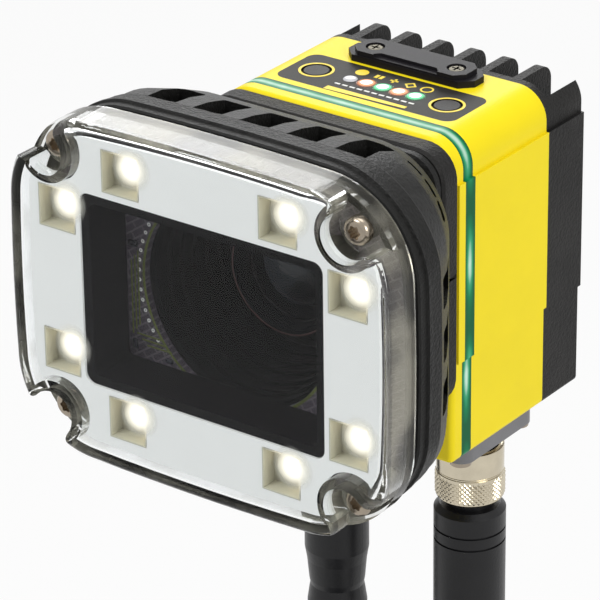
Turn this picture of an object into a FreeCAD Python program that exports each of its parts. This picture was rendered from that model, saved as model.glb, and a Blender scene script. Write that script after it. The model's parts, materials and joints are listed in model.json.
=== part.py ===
"""Machine vision camera with a high-power ring light and two plugged cables.

Frame: +Z up, the camera looks along -Y.  The origin is the middle of the four threaded
mounting bosses on the back, so a depth is the distance forward from that face (-Y).
"""
import FreeCAD, Part
import math
import os
import re

import Sketcher

Vector = FreeCAD.Vector
DOC = FreeCAD.newDocument("MachineVisionCamera")
SHEET = DOC.addObject("Spreadsheet::Sheet", "Sizes")

# name, value in mm (or a count), what it is
SIZES = [
    # camera body
    ("body_width", 60.5, "across the raised side bands"),
    ("body_height", 73.5, "bottom to top"),
    ("body_top_round", 7.0, "upper long edges"),
    ("body_low_round", 1.5, "lower long edges"),
    ("band_height", 40.7, "raised side band"),
    ("band_rise", 7.1, "middle of the band above the middle of the body"),
    ("band_stand", 0.7, "band above the side"),
    ("cover_back", 13.5, "depth where the cover starts"),
    ("cover_front", 48.0, "depth of the cover's front face"),
    ("cover_wall", 2.0, "cover wall"),
    ("cover_edge", 1.2, "rounding of the cover's front edge"),
    ("seat_gap", 0.15, "clearance of parts that slide together"),
    ("small_round", 0.4, "corners of small blocks"),
    # heat sink
    ("fin_pitch", 8.3, "fin to fin"),
    ("fin_thickness", 2.2, "each fin"),
    ("fin_depth", 11.5, "floor of the channels to the fin tips"),
    ("fin_round", 3.5, "corner of each inner fin"),
    ("channel_count", 7, "channels between the fins"),
    ("mount_spacing", 33.2, "mounting holes, side to side"),
    ("mount_rise", 50.0, "mounting holes, up and down"),
    ("mount_boss", 8.4, "boss diameter"),
    ("mount_hole", 4.0, "threaded hole diameter"),
    ("mount_deep", 8.0, "threaded hole depth"),
    ("tray_depth", 28.0, "tray forward of the cover's back edge"),
    ("tray_wall", 2.0, "tray wall"),
    ("tray_head", 7.0, "room between the tray and the top of the cover"),
    # light pipe
    ("strip_back", 41.0, "depth of its rear edge"),
    ("strip_width", 3.5, "width"),
    ("strip_sink", 1.2, "how far it is let into the cover"),
    # control panel on the top
    ("panel_depth", 31.6, "depth of the panel's middle"),
    ("panel_long", 45.4, "side to side"),
    ("panel_wide", 14.9, "front to back"),
    ("panel_round", 2.6, "corners"),
    ("panel_thick", 0.8, "sheet thickness"),
    ("button_spacing", 33.4, "button to button"),
    ("button_cap", 6.0, "cap diameter"),
    ("button_edge", 0.3, "chamfer of the cap"),
    ("button_collar", 7.8, "collar under the cover"),
    ("button_collar_high", 0.8, "height of the collar"),
    ("button_stem", 1.4, "collar's face to the foot of the stem"),
    ("button_gap", 0.3, "clearance round a button"),
    ("button_travel", 0.4, "stroke"),
    ("key_round", 5.0, "key under each button"),
    ("lamp_pitch", 4.15, "status lamp to status lamp"),
    ("lamp_shift", 0.4, "middle of the row beside the middle of the panel"),
    ("lamp_round", 3.1, "status lamp diameter"),
    ("lamp_count", 5, "status lamps"),
    ("lamp_stand", 0.35, "lamp crown above the panel"),
    ("key_board_long", 46.0, "board under the panel"),
    ("key_board_wide", 13.0, "board under the panel"),
    ("key_board_round", 1.5, "its corners"),
    ("board_thick", 1.6, "every circuit board"),
    ("board_round", 2.0, "corners of the square boards"),
    # memory card cover
    ("card_depth", 18.9, "depth of its middle"),
    ("card_long", 32.4, "side to side"),
    ("card_wide", 8.6, "front to back"),
    ("card_high", 2.6, "above the cover"),
    ("card_step", 1.5, "height of its base"),
    ("card_corner", 2.6, "cut corners of its base"),
    ("card_pad_long", 28.4, "raised plate on it, side to side"),
    ("card_pad_corner", 2.0, "cut corners of the raised plate"),
    ("card_pad_back", 0.2, "front edge of the raised plate behind the base's front edge"),
    ("card_ledge_long", 16.4, "ledge cut into the raised plate's front edge"),
    ("card_ledge_wide", 1.8, "ledge, front to back"),
    ("card_ledge_drop", 0.7, "ledge below the top"),
    ("card_ledge_corner", 1.1, "ends of the ledge"),
    ("card_screw_spacing", 20.8, "screw to screw"),
    ("card_screw_head", 3.6, "head diameter"),
    ("card_screw_high", 1.1, "head height"),
    ("card_screw_sink", 0.2, "head below the top"),
    ("card_screw_gap", 0.3, "clearance round a head"),
    ("card_screw_socket", 1.4, "socket in each head"),
    ("card_screw_shank", 1.9, "shank diameter"),
    ("card_slot_long", 13.0, "card slot"),
    ("card_slot_wide", 2.2, "card slot"),
    ("card_socket_wall", 1.0, "wall of the card socket"),
    # front plate and light adapter, both square round the optical axis
    ("axis_rise", 6.8, "optical axis above the middle of the body"),
    ("front_plate_side", 59.2, "square"),
    ("front_plate_thick", 3.3, "thickness"),
    ("front_plate_round", 7.0, "corners"),
    ("front_plate_edge", 0.6, "rounding of its front edge"),
    ("mouth_side", 48.0, "square opening of the cover behind the front plate"),
    ("lens_bore", 34.0, "bore of the front plate"),
    ("adapter_rim", 2.4, "straight part of the adapter's edge"),
    ("adapter_inset", 0.5, "edge of the adapter inside the plate's edge"),
    ("adapter_nose", 57.6, "end that carries the light, square with round corners"),
    ("adapter_nose_round", 17.0, "its corners"),
    ("adapter_deep", 9.0, "whole depth"),
    # ring light
    ("light_width", 94.6, "side to side"),
    ("light_height", 77.0, "bottom to top"),
    ("light_round", 20.0, "corners"),
    ("light_bow", 1.4, "how far each side bows outwards"),
    ("light_back", 74.5, "depth of the housing's rear face"),
    ("light_face", 85.4, "depth of the housing's front face"),
    ("light_wall", 2.6, "housing wall"),
    ("light_floor", 3.4, "housing floor"),
    ("light_rib", 0.5, "bead round the housing"),
    ("light_rib_back", 2.6, "bead behind the housing's front face"),
    ("light_rib_wide", 1.2, "bead, front to back"),
    ("flange_thick", 2.5, "flange at the rear end of the vanes, on the adapter"),
    ("vane_margin", 2.2, "vane ring inside the housing's outline"),
    ("vane_rim", 1.6, "closed rim at the rear end of the vanes"),
    ("vane_sink", 0.5, "vane ring let into the housing"),
    ("slot_pitch", 11.8, "air slot to air slot"),
    ("slot_width", 7.6, "air slot"),
    ("slot_bite", 0.8, "how far a slot cuts into the rear face"),
    ("slot_floor", 27.2, "distance of a slot's floor from the optical axis"),
    ("slots_across", 5, "air slots along the top and the bottom"),
    ("slots_upright", 3, "air slots along each side"),
    ("corner_slots", 3, "air slots round each corner"),
    ("corner_slot_pitch", 5.4, "corner slot to corner slot"),
    ("corner_slot_width", 4.2, "corner slot"),
    ("corner_slot_x", 26.0, "where the corner slots start, from the optical axis"),
    ("corner_slot_z", 17.2, "where the corner slots start, from the optical axis"),
    ("light_bore", 50.0, "bore of the housing's floor"),
    ("seal_thick", 1.4, "seal between housing and clear cover"),
    ("seal_inset", 0.6, "seal inside the outline"),
    ("seal_width", 3.2, "seal"),
    # clear cover
    ("clear_front", 98.0, "depth of the clear cover's face"),
    ("clear_wall", 2.2, "side wall"),
    ("clear_face", 1.8, "face thickness"),
    ("clear_edge", 2.2, "rounding of the front edge"),
    ("post_side_in", 10.0, "cover screws inside the sides of the light"),
    ("post_end_in", 8.7, "cover screws inside the top and the bottom of the light"),
    ("notch_round", 5.2, "radius of the notch at each screw"),
    ("notch_wall", 1.9, "wall round the notch"),
    ("notch_flare", 3.0, "rounding of the notch's mouth"),
    ("screw_post", 5.6, "housing's post and seal's eye round each cover screw"),
    ("screw_seat", 91.0, "depth of the face under a screw's head"),
    ("cover_screw_head", 7.0, "head diameter"),
    ("cover_screw_high", 2.5, "head height"),
    ("cover_screw_dome", 1.0, "domed part of the head"),
    ("cover_screw_shank", 3.0, "shank diameter"),
    ("cover_screw_grip", 9.5, "shank length"),
    ("cover_screw_gap", 0.2, "clearance round the shank"),
    ("socket_round", 2.6, "star socket in each head"),
    ("socket_deep", 1.5, "star socket in each head"),
    # reflector, window frame, light board
    ("reflector_front", 94.0, "depth of its face"),
    ("reflector_thick", 1.2, "sheet"),
    ("reflector_gap", 1.0, "reflector to the cover's wall"),
    ("reflector_notch_gap", 0.3, "reflector to the wall round a notch"),
    ("window_side_in", 16.7, "opening in the reflector inside the sides of the light"),
    ("window_end_in", 16.8, "opening in the reflector inside the top and the bottom"),
    ("window_round", 2.4, "corners"),
    ("frame_wall", 2.2, "window frame"),
    ("frame_gap", 0.1, "frame to the reflector"),
    ("frame_round", 1.6, "inner corners"),
    ("frame_lip", 0.5, "frame's face behind the reflector's face"),
    ("pocket_side", 9.6, "square opening over each lamp"),
    ("lamp_high_x", 19.7, "lamps above and below the window, from the axis"),
    ("lamp_end_in", 10.7, "the same lamps inside the top and the bottom of the light"),
    ("lamp_side_in", 10.8, "lamps beside the window, inside the sides of the light"),
    ("lamp_side_z", 16.3, "the same lamps above and below the axis"),
    ("cup_high", 7.4, "lamp optics above the board"),
    ("lamp_gap", 0.4, "foot of a lamp optic inside its opening"),
    ("lamp_foot", 1.6, "square foot of a lamp optic"),
    ("lamp_foot_round", 0.8, "its corners"),
    ("lamp_cup_small", 5.8, "round cup at its foot"),
    ("lamp_cup_large", 8.2, "round cup at its top"),
    ("lamp_dome", 2.2, "dome of a lamp optic"),
    ("light_board_hole", 47.4, "round hole in the light board"),
    ("board_lift", 2.4, "light board above the housing's floor"),
    ("light_board_gap", 0.6, "light board to the housing's wall and posts"),
    ("pad_round", 6.0, "pads under the light board"),
    ("pad_rise", 10.9, "pads, up and down"),
    # optics
    ("hood_small", 38.0, "small end of the hood, outside"),
    ("hood_flange", 1.2, "flange of the hood behind the light board"),
    ("hood_wall", 0.9, "hood"),
    ("hood_gap", 1.5, "clearance round the small end of the hood"),
    ("hood_steps", 6, "light-trapping steps inside the hood"),
    ("barrel_round", 28.0, "lens barrel diameter"),
    ("barrel_front", 66.0, "depth of the barrel's front edge"),
    ("barrel_flange", 40.0, "barrel flange behind the front plate"),
    ("flange_in", 1.2, "flange let into the front plate"),
    ("flange_out", 1.4, "flange behind the front plate"),
    ("barrel_tail", 6.0, "narrower rear end of the barrel"),
    ("barrel_tail_step", 2.0, "step to the rear end"),
    ("barrel_lip", 0.8, "chamfers of the front edge"),
    ("barrel_mouth", 2.0, "depth of the inner chamfer"),
    ("barrel_back", 30.0, "depth of the barrel's rear end"),
    ("front_glass", 22.0, "front lens diameter"),
    ("front_glass_sink", 6.0, "its seat behind the barrel's front edge"),
    ("front_glass_thick", 2.4, "at its rim"),
    ("front_glass_crown", 1.4, "crown of its front"),
    ("rear_glass", 16.0, "rear lens diameter"),
    ("rear_glass_sink", 1.0, "its seat in front of the barrel's rear end"),
    ("rear_glass_thick", 2.0, "at its rim"),
    ("rear_glass_crown", 1.2, "crown of its front"),
    ("chip_wide", 14.0, "image sensor"),
    ("chip_tall", 11.0, "image sensor"),
    ("chip_thick", 1.8, "image sensor"),
    ("chip_gap", 0.2, "image sensor behind the barrel"),
    ("sensor_board_side", 38.0, "sensor board"),
    ("main_board_side", 1.15, "main board clear of each side wall of the tray"),
    ("main_board_head", 1.75, "main board clear of the upper wall of the tray"),
    ("main_board_under", 4.6, "main board clear of the lower wall of the tray"),
    ("post_spacing", 32.0, "board posts, both ways"),
    ("post_round", 4.4, "board posts"),
    ("post_stand", 4.0, "main board off the tray's floor"),
    # connector plate and connectors
    ("plate_wide", 57.0, "connector plate, side to side"),
    ("plate_deep", 27.0, "connector plate, front to back"),
    ("plate_shift", 4.0, "plate's middle forward of the connectors"),
    ("plate_thick", 3.4, "connector plate"),
    ("plate_round", 3.0, "corners"),
    ("plug_spacing", 36.0, "connector to connector"),
    ("plug_depth", 24.0, "depth of the connectors' axes"),
    ("plate_screw_side_in", 2.8, "plate screws inside the sides of the plate"),
    ("plate_screw_deep_in", 2.5, "plate screws inside the front and the back of the plate"),
    ("plate_screw_head", 4.6, "head diameter"),
    ("plate_screw_high", 1.0, "head height"),
    ("plate_screw_socket", 1.8, "socket"),
    ("plate_socket_deep", 0.5, "socket"),
    ("plate_screw_end", 0.4, "screw's end short of the cover's inside"),
    ("shell_collar", 14.6, "collar of each panel connector"),
    ("shell_thread", 11.7, "thread of each panel connector"),
    ("shell_bore", 9.0, "bore of each panel connector"),
    ("shell_collar_high", 2.0, "collar height"),
    ("shell_chamfer", 0.5, "end of the thread"),
    ("shell_tail", 6.0, "tail inside the body"),
    ("nut_round", 15.6, "knurled part of a coupling nut"),
    ("nut_collar", 14.9, "smooth part of a coupling nut"),
    ("nut_knurl", 6.5, "height of the knurled part"),
    ("nut_long", 12.8, "whole nut"),
    ("nut_drop", 4.4, "top of the nut below the plate"),
    ("nut_fit", 0.3, "clearance round the thread and the plug"),
    ("nut_lip", 1.8, "lip at the foot of the nut"),
    ("nut_edge", 0.6, "chamfer of the lower edge"),
    ("nut_collar_edge", 0.4, "chamfers of the upper edges"),
    ("core_round", 8.4, "plug core"),
    ("core_flange", 10.9, "flange that the nut pulls on"),
    ("core_flange_high", 1.0, "its height"),
    ("core_long", 8.0, "core above the flange's lower face"),
    ("ring_wire", 1.6, "sealing ring section"),
    ("neck_round", 10.4, "neck under the nut"),
    ("neck_long", 1.6, "neck under the nut"),
    # power plug
    ("power_round", 15.9, "moulded body"),
    ("power_long", 33.4, "moulded body"),
    ("plug_shoulder", 1.2, "shoulder of both plugs"),
    ("power_groove_top", 5.3, "first groove below the top"),
    ("power_groove_gap", 2.9, "groove to groove"),
    ("groove_wide", 0.5, "groove"),
    ("groove_deep", 0.35, "groove"),
    ("power_relief", 15.0, "strain relief"),
    ("power_relief_top", 11.4, "strain relief diameter at the body"),
    ("relief_end", 8.6, "strain relief diameter at the cable"),
    # network plug
    ("network_round", 14.6, "moulded body"),
    ("network_long", 25.4, "moulded body"),
    ("network_taper", 3.0, "tapered end of the body"),
    ("network_taper_in", 0.5, "how far it tapers in"),
    ("network_waist", 12.2, "waist"),
    ("network_waist_drop", 6.5, "body to waist"),
    ("waist_run", 1.4, "softening above and below the waist"),
    ("waist_rise", 0.25, "softening above and below the waist"),
    ("network_ring", 13.6, "ring below the waist"),
    ("network_ring_drop", 4.5, "waist to ring"),
    ("network_ring_long", 3.0, "height of the ring"),
    ("relief_step", 0.8, "step from the ring to the strain relief"),
    ("network_relief", 17.0, "strain relief"),
    # cables
    ("cable_round", 6.5, "cable diameter"),
    ("coil_radius", 37.3, "middle of the coiled turns"),
    ("coil_bundle", 12.8, "radius of the bundle of turns"),
    ("coil_drop", 178.0, "coil's middle below the origin"),
    ("tie_wide", 9.0, "hook-and-loop tie"),
    ("tie_thick", 1.2, "hook-and-loop tie"),
    ("tail_long", 40.0, "from the coil's middle down to the far plug"),
    ("jack_wide", 11.7, "far plug of the network cable"),
    ("jack_thick", 8.3, "far plug of the network cable"),
    ("jack_long", 22.0, "far plug of the network cable"),
    ("boot_long", 14.0, "boot of the far plug"),
    ("boot_flare", 1.2, "how far the boot widens"),
    ("latch_wide", 5.8, "latch tongue"),
    ("latch_thick", 1.2, "latch tongue"),
    ("latch_sink", 0.1, "tongue let into the body"),
    ("latch_tip", 2.0, "tongue's end above the body's foot"),
    ("latch_root", 3.0, "tongue's root below the boot"),
]
NAMES = {name for name, _, _ in SIZES}
for row, (name, size, meaning) in enumerate(SIZES, start=1):
    SHEET.set(f"A{row}", name)
    SHEET.set(f"B{row}", str(size))
    SHEET.set(f"C{row}", meaning)
    SHEET.setAlias(f"B{row}", name)
DOC.recompute()


# ---------------------------------------------------------------- reading and binding sizes

def number(expression):
    """Value of an expression written in the sheet's names."""
    return float(SHEET.evalExpression(expression))


def bind(target, prop, expression):
    """Tie one property of an object to an expression written in the sheet's names."""
    full = re.sub(r"[a-z_]+", lambda m: f"Sizes.{m[0]}" if m[0] in NAMES else m[0], expression)
    target.setExpression(prop, full)


FRONT = FreeCAD.Rotation(Vector(1, 0, 0), 90)   # local z points forward (-Y)
UP = FreeCAD.Rotation()
RIGHT = FreeCAD.Rotation(Vector(1, 1, 1), 120)  # local x is Y, local y is Z, local z is X
PLANES = {"front": "XZ_Plane", "up": "XY_Plane", "right": "YZ_Plane"}
TURNS = {"front": FRONT, "up": UP, "right": RIGHT}


def place(target, facing, x="0", y="0", z="0"):
    """Put an object at x, y, z with its own z axis along the way it faces."""
    target.Placement = FreeCAD.Placement(Vector(number(x), number(y), number(z)), TURNS[facing])
    bind(target, "Placement.Base.x", x)
    bind(target, "Placement.Base.y", y)
    bind(target, "Placement.Base.z", z)
    return target


# ---------------------------------------------------------------- sketches

def size_constraint(sketch, kind, *where, to):
    """Add a dimension to a sketch and tie it to an expression."""
    index = sketch.addConstraint(Sketcher.Constraint(kind, *where, number(to)))
    bind(sketch, f"Constraints[{index}]", to)


def draw_rounded(sketch, width, height, corner):
    """Rectangle with round corners about the sketch's origin."""
    half_w, half_h, r = number(width) / 2, number(height) / 2, number(corner)
    spots = [(1, 1, 0), (-1, 1, 90), (-1, -1, 180), (1, -1, 270)]
    for sx, sy, start in spots:
        middle = Vector(sx * (half_w - r), sy * (half_h - r), 0)
        circle = Part.Circle(middle, Vector(0, 0, 1), r)
        sketch.addGeometry(Part.ArcOfCircle(circle, math.radians(start), math.radians(start + 90)))
    for near in range(4):
        far = (near + 1) % 4
        a = sketch.Geometry[near].EndPoint
        b = sketch.Geometry[far].StartPoint
        line = sketch.addGeometry(Part.LineSegment(a, b))
        sketch.addConstraint(Sketcher.Constraint("Tangent", near, 2, line, 1))
        sketch.addConstraint(Sketcher.Constraint("Tangent", line, 2, far, 1))
        sketch.addConstraint(Sketcher.Constraint("Vertical" if near % 2 else "Horizontal", line))
    for other in (1, 2, 3):
        sketch.addConstraint(Sketcher.Constraint("Equal", 0, other))
    size_constraint(sketch, "Radius", 0, to=corner)
    size_constraint(sketch, "DistanceX", 5, 1, 7, 1, to=width)
    size_constraint(sketch, "DistanceY", 6, 1, 4, 1, to=height)
    sketch.addConstraint(Sketcher.Constraint("Symmetric", 5, 1, 7, 1, -1, 1))


def draw_circle(sketch, diameter):
    """Circle about the sketch's origin."""
    sketch.addGeometry(Part.Circle(Vector(), Vector(0, 0, 1), number(diameter) / 2))
    sketch.addConstraint(Sketcher.Constraint("Coincident", 0, 3, -1, 1))
    size_constraint(sketch, "Radius", 0, to=f"({diameter}) / 2")


def draw_outline(sketch, points):
    """Closed outline through points, each a pair of expressions."""
    spots = [Vector(number(x), number(y), 0) for x, y in points]
    count = len(spots)
    for i in range(count):
        sketch.addGeometry(Part.LineSegment(spots[i], spots[(i + 1) % count]))
    for i in range(count):
        sketch.addConstraint(Sketcher.Constraint("Coincident", i, 2, (i + 1) % count, 1))
    for i, (x, y) in enumerate(points):
        size_constraint(sketch, "DistanceX", -1, 1, i, 1, to=x)
        size_constraint(sketch, "DistanceY", -1, 1, i, 1, to=y)


# ---------------------------------------------------------------- part design helpers

def new_body(name):
    """PartDesign body, labelled with its node's name."""
    body = DOC.addObject("PartDesign::Body", name)
    body.Label = name
    return body


def body_sketch(body, facing, x="0", y="0", out="0"):
    """Sketch on one of the body's own origin planes, moved by x and y in it and out along it."""
    plane = next(f for f in body.Origin.OriginFeatures if f.Role == PLANES[facing])
    sketch = body.newObject("Sketcher::SketchObject", body.Name + "_sketch")
    sketch.AttachmentSupport = [(plane, "")]
    sketch.MapMode = "FlatFace"
    for axis, expression in zip("xyz", (x, y, out)):
        bind(sketch, f"AttachmentOffset.Base.{axis}", expression)
    return sketch


def pad(body, sketch, length):
    """Add material from a sketch, along the way that the sketch faces."""
    feature = body.newObject("PartDesign::Pad", body.Name + "_pad")
    feature.Profile = sketch
    bind(feature, "Length", length)
    DOC.recompute()
    return feature


def pocket(body, sketch, length, ahead=False):
    """Cut from a sketch, away from the way that it faces, or along it if ahead."""
    feature = body.newObject("PartDesign::Pocket", body.Name + "_pocket")
    feature.Profile = sketch
    feature.Reversed = ahead
    bind(feature, "Length", length)
    before = body.Shape.Volume
    DOC.recompute()
    assert body.Shape.Volume < before, f"{body.Name}: a pocket cuts nothing"
    return feature


def edges_where(shape, test):
    """Names of the edges whose ends and middle pass a test."""
    found = []
    for i, edge in enumerate(shape.Edges, start=1):
        first, last = edge.FirstParameter, edge.LastParameter
        points = [edge.valueAt(t) for t in (first, (first + last) / 2, last)]
        if all(test(p) for p in points):
            found.append(f"Edge{i}")
    return found


def round_edges(body, test, radius, kind="Fillet"):
    """Fillet or chamfer the edges of the body's tip that pass a test."""
    tip = body.Tip
    feature = body.newObject(f"PartDesign::{kind}", body.Name + "_" + kind.lower())
    feature.Base = (tip, edges_where(tip.Shape, test))
    bind(feature, "Radius" if kind == "Fillet" else "Size", radius)
    DOC.recompute()
    return feature


def turned(name, points, x="0", y="0", z="0"):
    """Body turned about a vertical axis; points are radius and height pairs."""
    body = new_body(name)
    sketch = body_sketch(body, "front", x=x, y=z, out=f"-({y})")
    draw_outline(sketch, points)
    feature = body.newObject("PartDesign::Revolution", name + "_turned")
    feature.Profile = sketch
    feature.ReferenceAxis = (sketch, ["V_Axis"])
    DOC.recompute()
    return body


def turned_forward(name, points, z="0"):
    """Body turned about a line that runs forward; points are depth and radius pairs."""
    body = new_body(name)
    sketch = body_sketch(body, "right", y=z)
    draw_outline(sketch, [(f"-({depth})", radius) for depth, radius in points])
    feature = body.newObject("PartDesign::Revolution", name + "_turned")
    feature.Profile = sketch
    feature.ReferenceAxis = (sketch, ["H_Axis"])
    DOC.recompute()
    return body


# ---------------------------------------------------------------- part helpers

def named(target, name):
    """Give an object the label that names its file."""
    target.Label = name
    return target


def block(width, height, corner, start, end, x="0", z="0"):
    """Rounded plate facing forward, from one depth to another."""
    sketch = DOC.addObject("Sketcher::SketchObject", "outline")
    draw_rounded(sketch, width, height, corner)
    place(sketch, "front", x, f"-({start})", z)
    solid = DOC.addObject("Part::Extrusion", "plate")
    solid.Base = sketch
    solid.DirMode = "Normal"
    solid.Solid = True
    bind(solid, "LengthFwd", f"({end}) - ({start})")
    return solid


def slab(long, deep, corner, low, high, x="0", y="0"):
    """Rounded plate lying flat, from one height to another."""
    sketch = DOC.addObject("Sketcher::SketchObject", "outline")
    draw_rounded(sketch, long, deep, corner)
    place(sketch, "up", x, y, low)
    solid = DOC.addObject("Part::Extrusion", "slab")
    solid.Base = sketch
    solid.DirMode = "Normal"
    solid.Solid = True
    bind(solid, "LengthFwd", f"({high}) - ({low})")
    return solid


def rod(diameter, start, end, x="0", z="0"):
    """Cylinder facing forward, from one depth to another."""
    solid = DOC.addObject("Part::Cylinder", "rod")
    bind(solid, "Radius", f"({diameter}) / 2")
    bind(solid, "Height", f"({end}) - ({start})")
    return place(solid, "front", x, f"-({start})", z)


def pin(diameter, low, high, x="0", y="0"):
    """Upright cylinder, from one height to another."""
    solid = DOC.addObject("Part::Cylinder", "pin")
    bind(solid, "Radius", f"({diameter}) / 2")
    bind(solid, "Height", f"({high}) - ({low})")
    return place(solid, "up", x, y, low)


def brick(across, deep, tall, x, y, z):
    """Box given by its sizes and its lowest corner."""
    solid = DOC.addObject("Part::Box", "brick")
    bind(solid, "Length", across)
    bind(solid, "Width", deep)
    bind(solid, "Height", tall)
    return place(solid, "up", x, y, z)


def joined(*pieces):
    """Union of pieces."""
    solid = DOC.addObject("Part::MultiFuse", "joined")
    solid.Shapes = list(pieces)
    solid.Refine = True
    return solid


def less(base, *tools):
    """A piece with others cut out of it."""
    tool = tools[0] if len(tools) == 1 else joined(*tools)
    solid = DOC.addObject("Part::Cut", "cut")
    solid.Base = base
    solid.Tool = tool
    solid.Refine = True
    return solid


def together(pieces):
    """Like solids kept apart in one node."""
    solid = DOC.addObject("Part::Compound", "together")
    solid.Links = list(pieces)
    return solid


BODY_TOP = "body_height / 2"
BODY_FOOT = "-body_height / 2"
SIDE_WIDTH = "body_width - 2 * band_stand"
# the heat sink's tray slides into the cover
TRAY_WIDE = "(body_width - 2 * (band_stand + cover_wall + seat_gap))"
TRAY_TALL = "(body_height - cover_wall - seat_gap - tray_head)"
TRAY_MIDDLE = "((cover_wall + seat_gap - tray_head) / 2)"


# ---------------------------------------------------------------- camera body

def body_outline(body, start, length):
    """Pad the camera's outline with its two edge roundings, without the side bands."""
    sketch = body_sketch(body, "front", out=start)
    draw_outline(sketch, [
        (f"({SIDE_WIDTH}) / 2", BODY_TOP),
        (f"-({SIDE_WIDTH}) / 2", BODY_TOP),
        (f"-({SIDE_WIDTH}) / 2", BODY_FOOT),
        (f"({SIDE_WIDTH}) / 2", BODY_FOOT),
    ])
    pad(body, sketch, length)
    half = number(f"({SIDE_WIDTH}) / 2")
    top, foot = number(BODY_TOP), number(BODY_FOOT)
    for height, radius in ((top, "body_top_round"), (foot, "body_low_round")):
        round_edges(body, lambda p, h=height: abs(abs(p.x) - half) < 1e-3 and abs(p.z - h) < 1e-3,
                    radius)


def side_bands(body, start, length):
    """Pad the raised band on both sides."""
    sketch = body_sketch(body, "front", y="band_rise", out=start)
    draw_outline(sketch, [
        ("body_width / 2", "band_height / 2"),
        ("-body_width / 2", "band_height / 2"),
        ("-body_width / 2", "-band_height / 2"),
        ("body_width / 2", "-band_height / 2"),
    ])
    pad(body, sketch, length)


def heat_sink():
    """Die-cast rear housing: fins, side bands, tray for the boards, mounting bosses."""
    body = new_body("heat_sink_housing")
    body_outline(body, "0", "cover_back")
    side_bands(body, "0", "cover_back")
    sketch = body_sketch(body, "front", x="-fin_pitch * (channel_count - 1) / 2")
    draw_outline(sketch, [
        ("(fin_pitch - fin_thickness) / 2", "body_height"),
        ("(fin_thickness - fin_pitch) / 2", "body_height"),
        ("(fin_thickness - fin_pitch) / 2", "-body_height"),
        ("(fin_pitch - fin_thickness) / 2", "-body_height"),
    ])
    channel = pocket(body, sketch, "fin_depth", ahead=True)
    row = body.newObject("PartDesign::LinearPattern", "channels")
    row.Originals = [channel]
    row.Direction = (sketch, ["H_Axis"])
    bind(row, "Occurrences", "channel_count")
    bind(row, "Length", "fin_pitch * (channel_count - 1)")
    body.Tip = row
    DOC.recompute()
    reach = number("fin_pitch * (channel_count - 1) / 2")
    height = number(BODY_TOP)
    round_edges(
        body,
        lambda p: abs(p.y) < 1e-3 and abs(abs(p.z) - height) < 1e-3 and abs(p.x) < reach,
        "fin_round",
    )
    outside = body_sketch(body, "front", y=TRAY_MIDDLE, out="cover_back")
    draw_rounded(outside, TRAY_WIDE, TRAY_TALL, "body_top_round - cover_wall")
    pad(body, outside, "tray_depth")
    inside = body_sketch(body, "front", y=TRAY_MIDDLE, out="cover_back + tray_depth")
    draw_rounded(inside, f"{TRAY_WIDE} - 2 * tray_wall", f"{TRAY_TALL} - 2 * tray_wall",
                 "body_top_round - cover_wall - tray_wall")
    pocket(body, inside, "tray_depth")
    for side in ("", "-"):
        for level in ("", "-"):
            spot = {"x": f"{side}mount_spacing / 2", "y": f"{level}mount_rise / 2"}
            boss = body_sketch(body, "front", **spot)
            draw_circle(boss, "mount_boss")
            pad(body, boss, "fin_depth")
    for side in ("", "-"):
        for level in ("", "-"):
            spot = {"x": f"{side}mount_spacing / 2", "y": f"{level}mount_rise / 2"}
            hole = body_sketch(body, "front", **spot)
            draw_circle(hole, "mount_hole")
            pocket(body, hole, "mount_deep", ahead=True)
    for side in ("", "-"):
        way = body_sketch(body, "up", x=f"{side}plug_spacing / 2", y="-plug_depth", out="0")
        draw_circle(way, "shell_collar")
        pocket(body, way, "body_height")
    return body


def cover_sleeve():
    """Moulded sleeve of the cover: side bands, hollow inside, mouth for the optics."""
    body = new_body("sleeve")
    length = "cover_front - cover_back"
    body_outline(body, "cover_back", length)
    front = -number("cover_front")
    round_edges(body, lambda p: abs(p.y - front) < 1e-3, "cover_edge")
    side_bands(body, "cover_back", f"{length} - cover_edge")
    inside = body_sketch(body, "front", out="cover_back")
    draw_rounded(inside, f"{SIDE_WIDTH} - 2 * cover_wall", "body_height - 2 * cover_wall",
                 "body_top_round - cover_wall")
    pocket(body, inside, f"{length} - cover_wall", ahead=True)
    mouth = body_sketch(body, "front", y="axis_rise", out="cover_front")
    draw_rounded(mouth, "mouth_side", "mouth_side", "front_plate_round")
    pocket(body, mouth, "2 * cover_wall")
    return body


def light_pipe():
    """Clear strip let into the cover: over the top and down both sides."""
    outline = new_body("strip_outline")
    body_outline(outline, "strip_back", "strip_width")
    side_bands(outline, "strip_back", "strip_width")
    core = block(f"{SIDE_WIDTH} - 2 * strip_sink", "2 * body_height", "body_top_round - strip_sink",
                 "strip_back", "strip_back + strip_width", z="-body_height / 2 - strip_sink")
    return named(less(outline, core), "light_pipe")


def each_side(expression):
    """The expression on both sides of the middle plane."""
    return [f"-({expression})", f"({expression})"]


def in_row(count, pitch):
    """Places of a number of like things about the middle, as expressions."""
    total = round(number(count))
    return [f"{pitch} * {i - (total - 1) / 2}" for i in range(total)]


PANEL_FLOOR = f"{BODY_TOP} - panel_thick"
WALL_UNDER = f"{BODY_TOP} - cover_wall"
TRAY_TOP = f"{BODY_TOP} - tray_head"
KEY_BOARD_TOP = f"{TRAY_TOP} + board_thick"


def plate_screw_spots():
    """Places of the connector plate's four screws, as expressions."""
    across = each_side("(plate_wide / 2 - plate_screw_side_in)")
    deep = each_side("(plate_deep / 2 - plate_screw_deep_in)")
    return [(x, f"-plug_depth - plate_shift + {y}") for x in across for y in deep]


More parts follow.
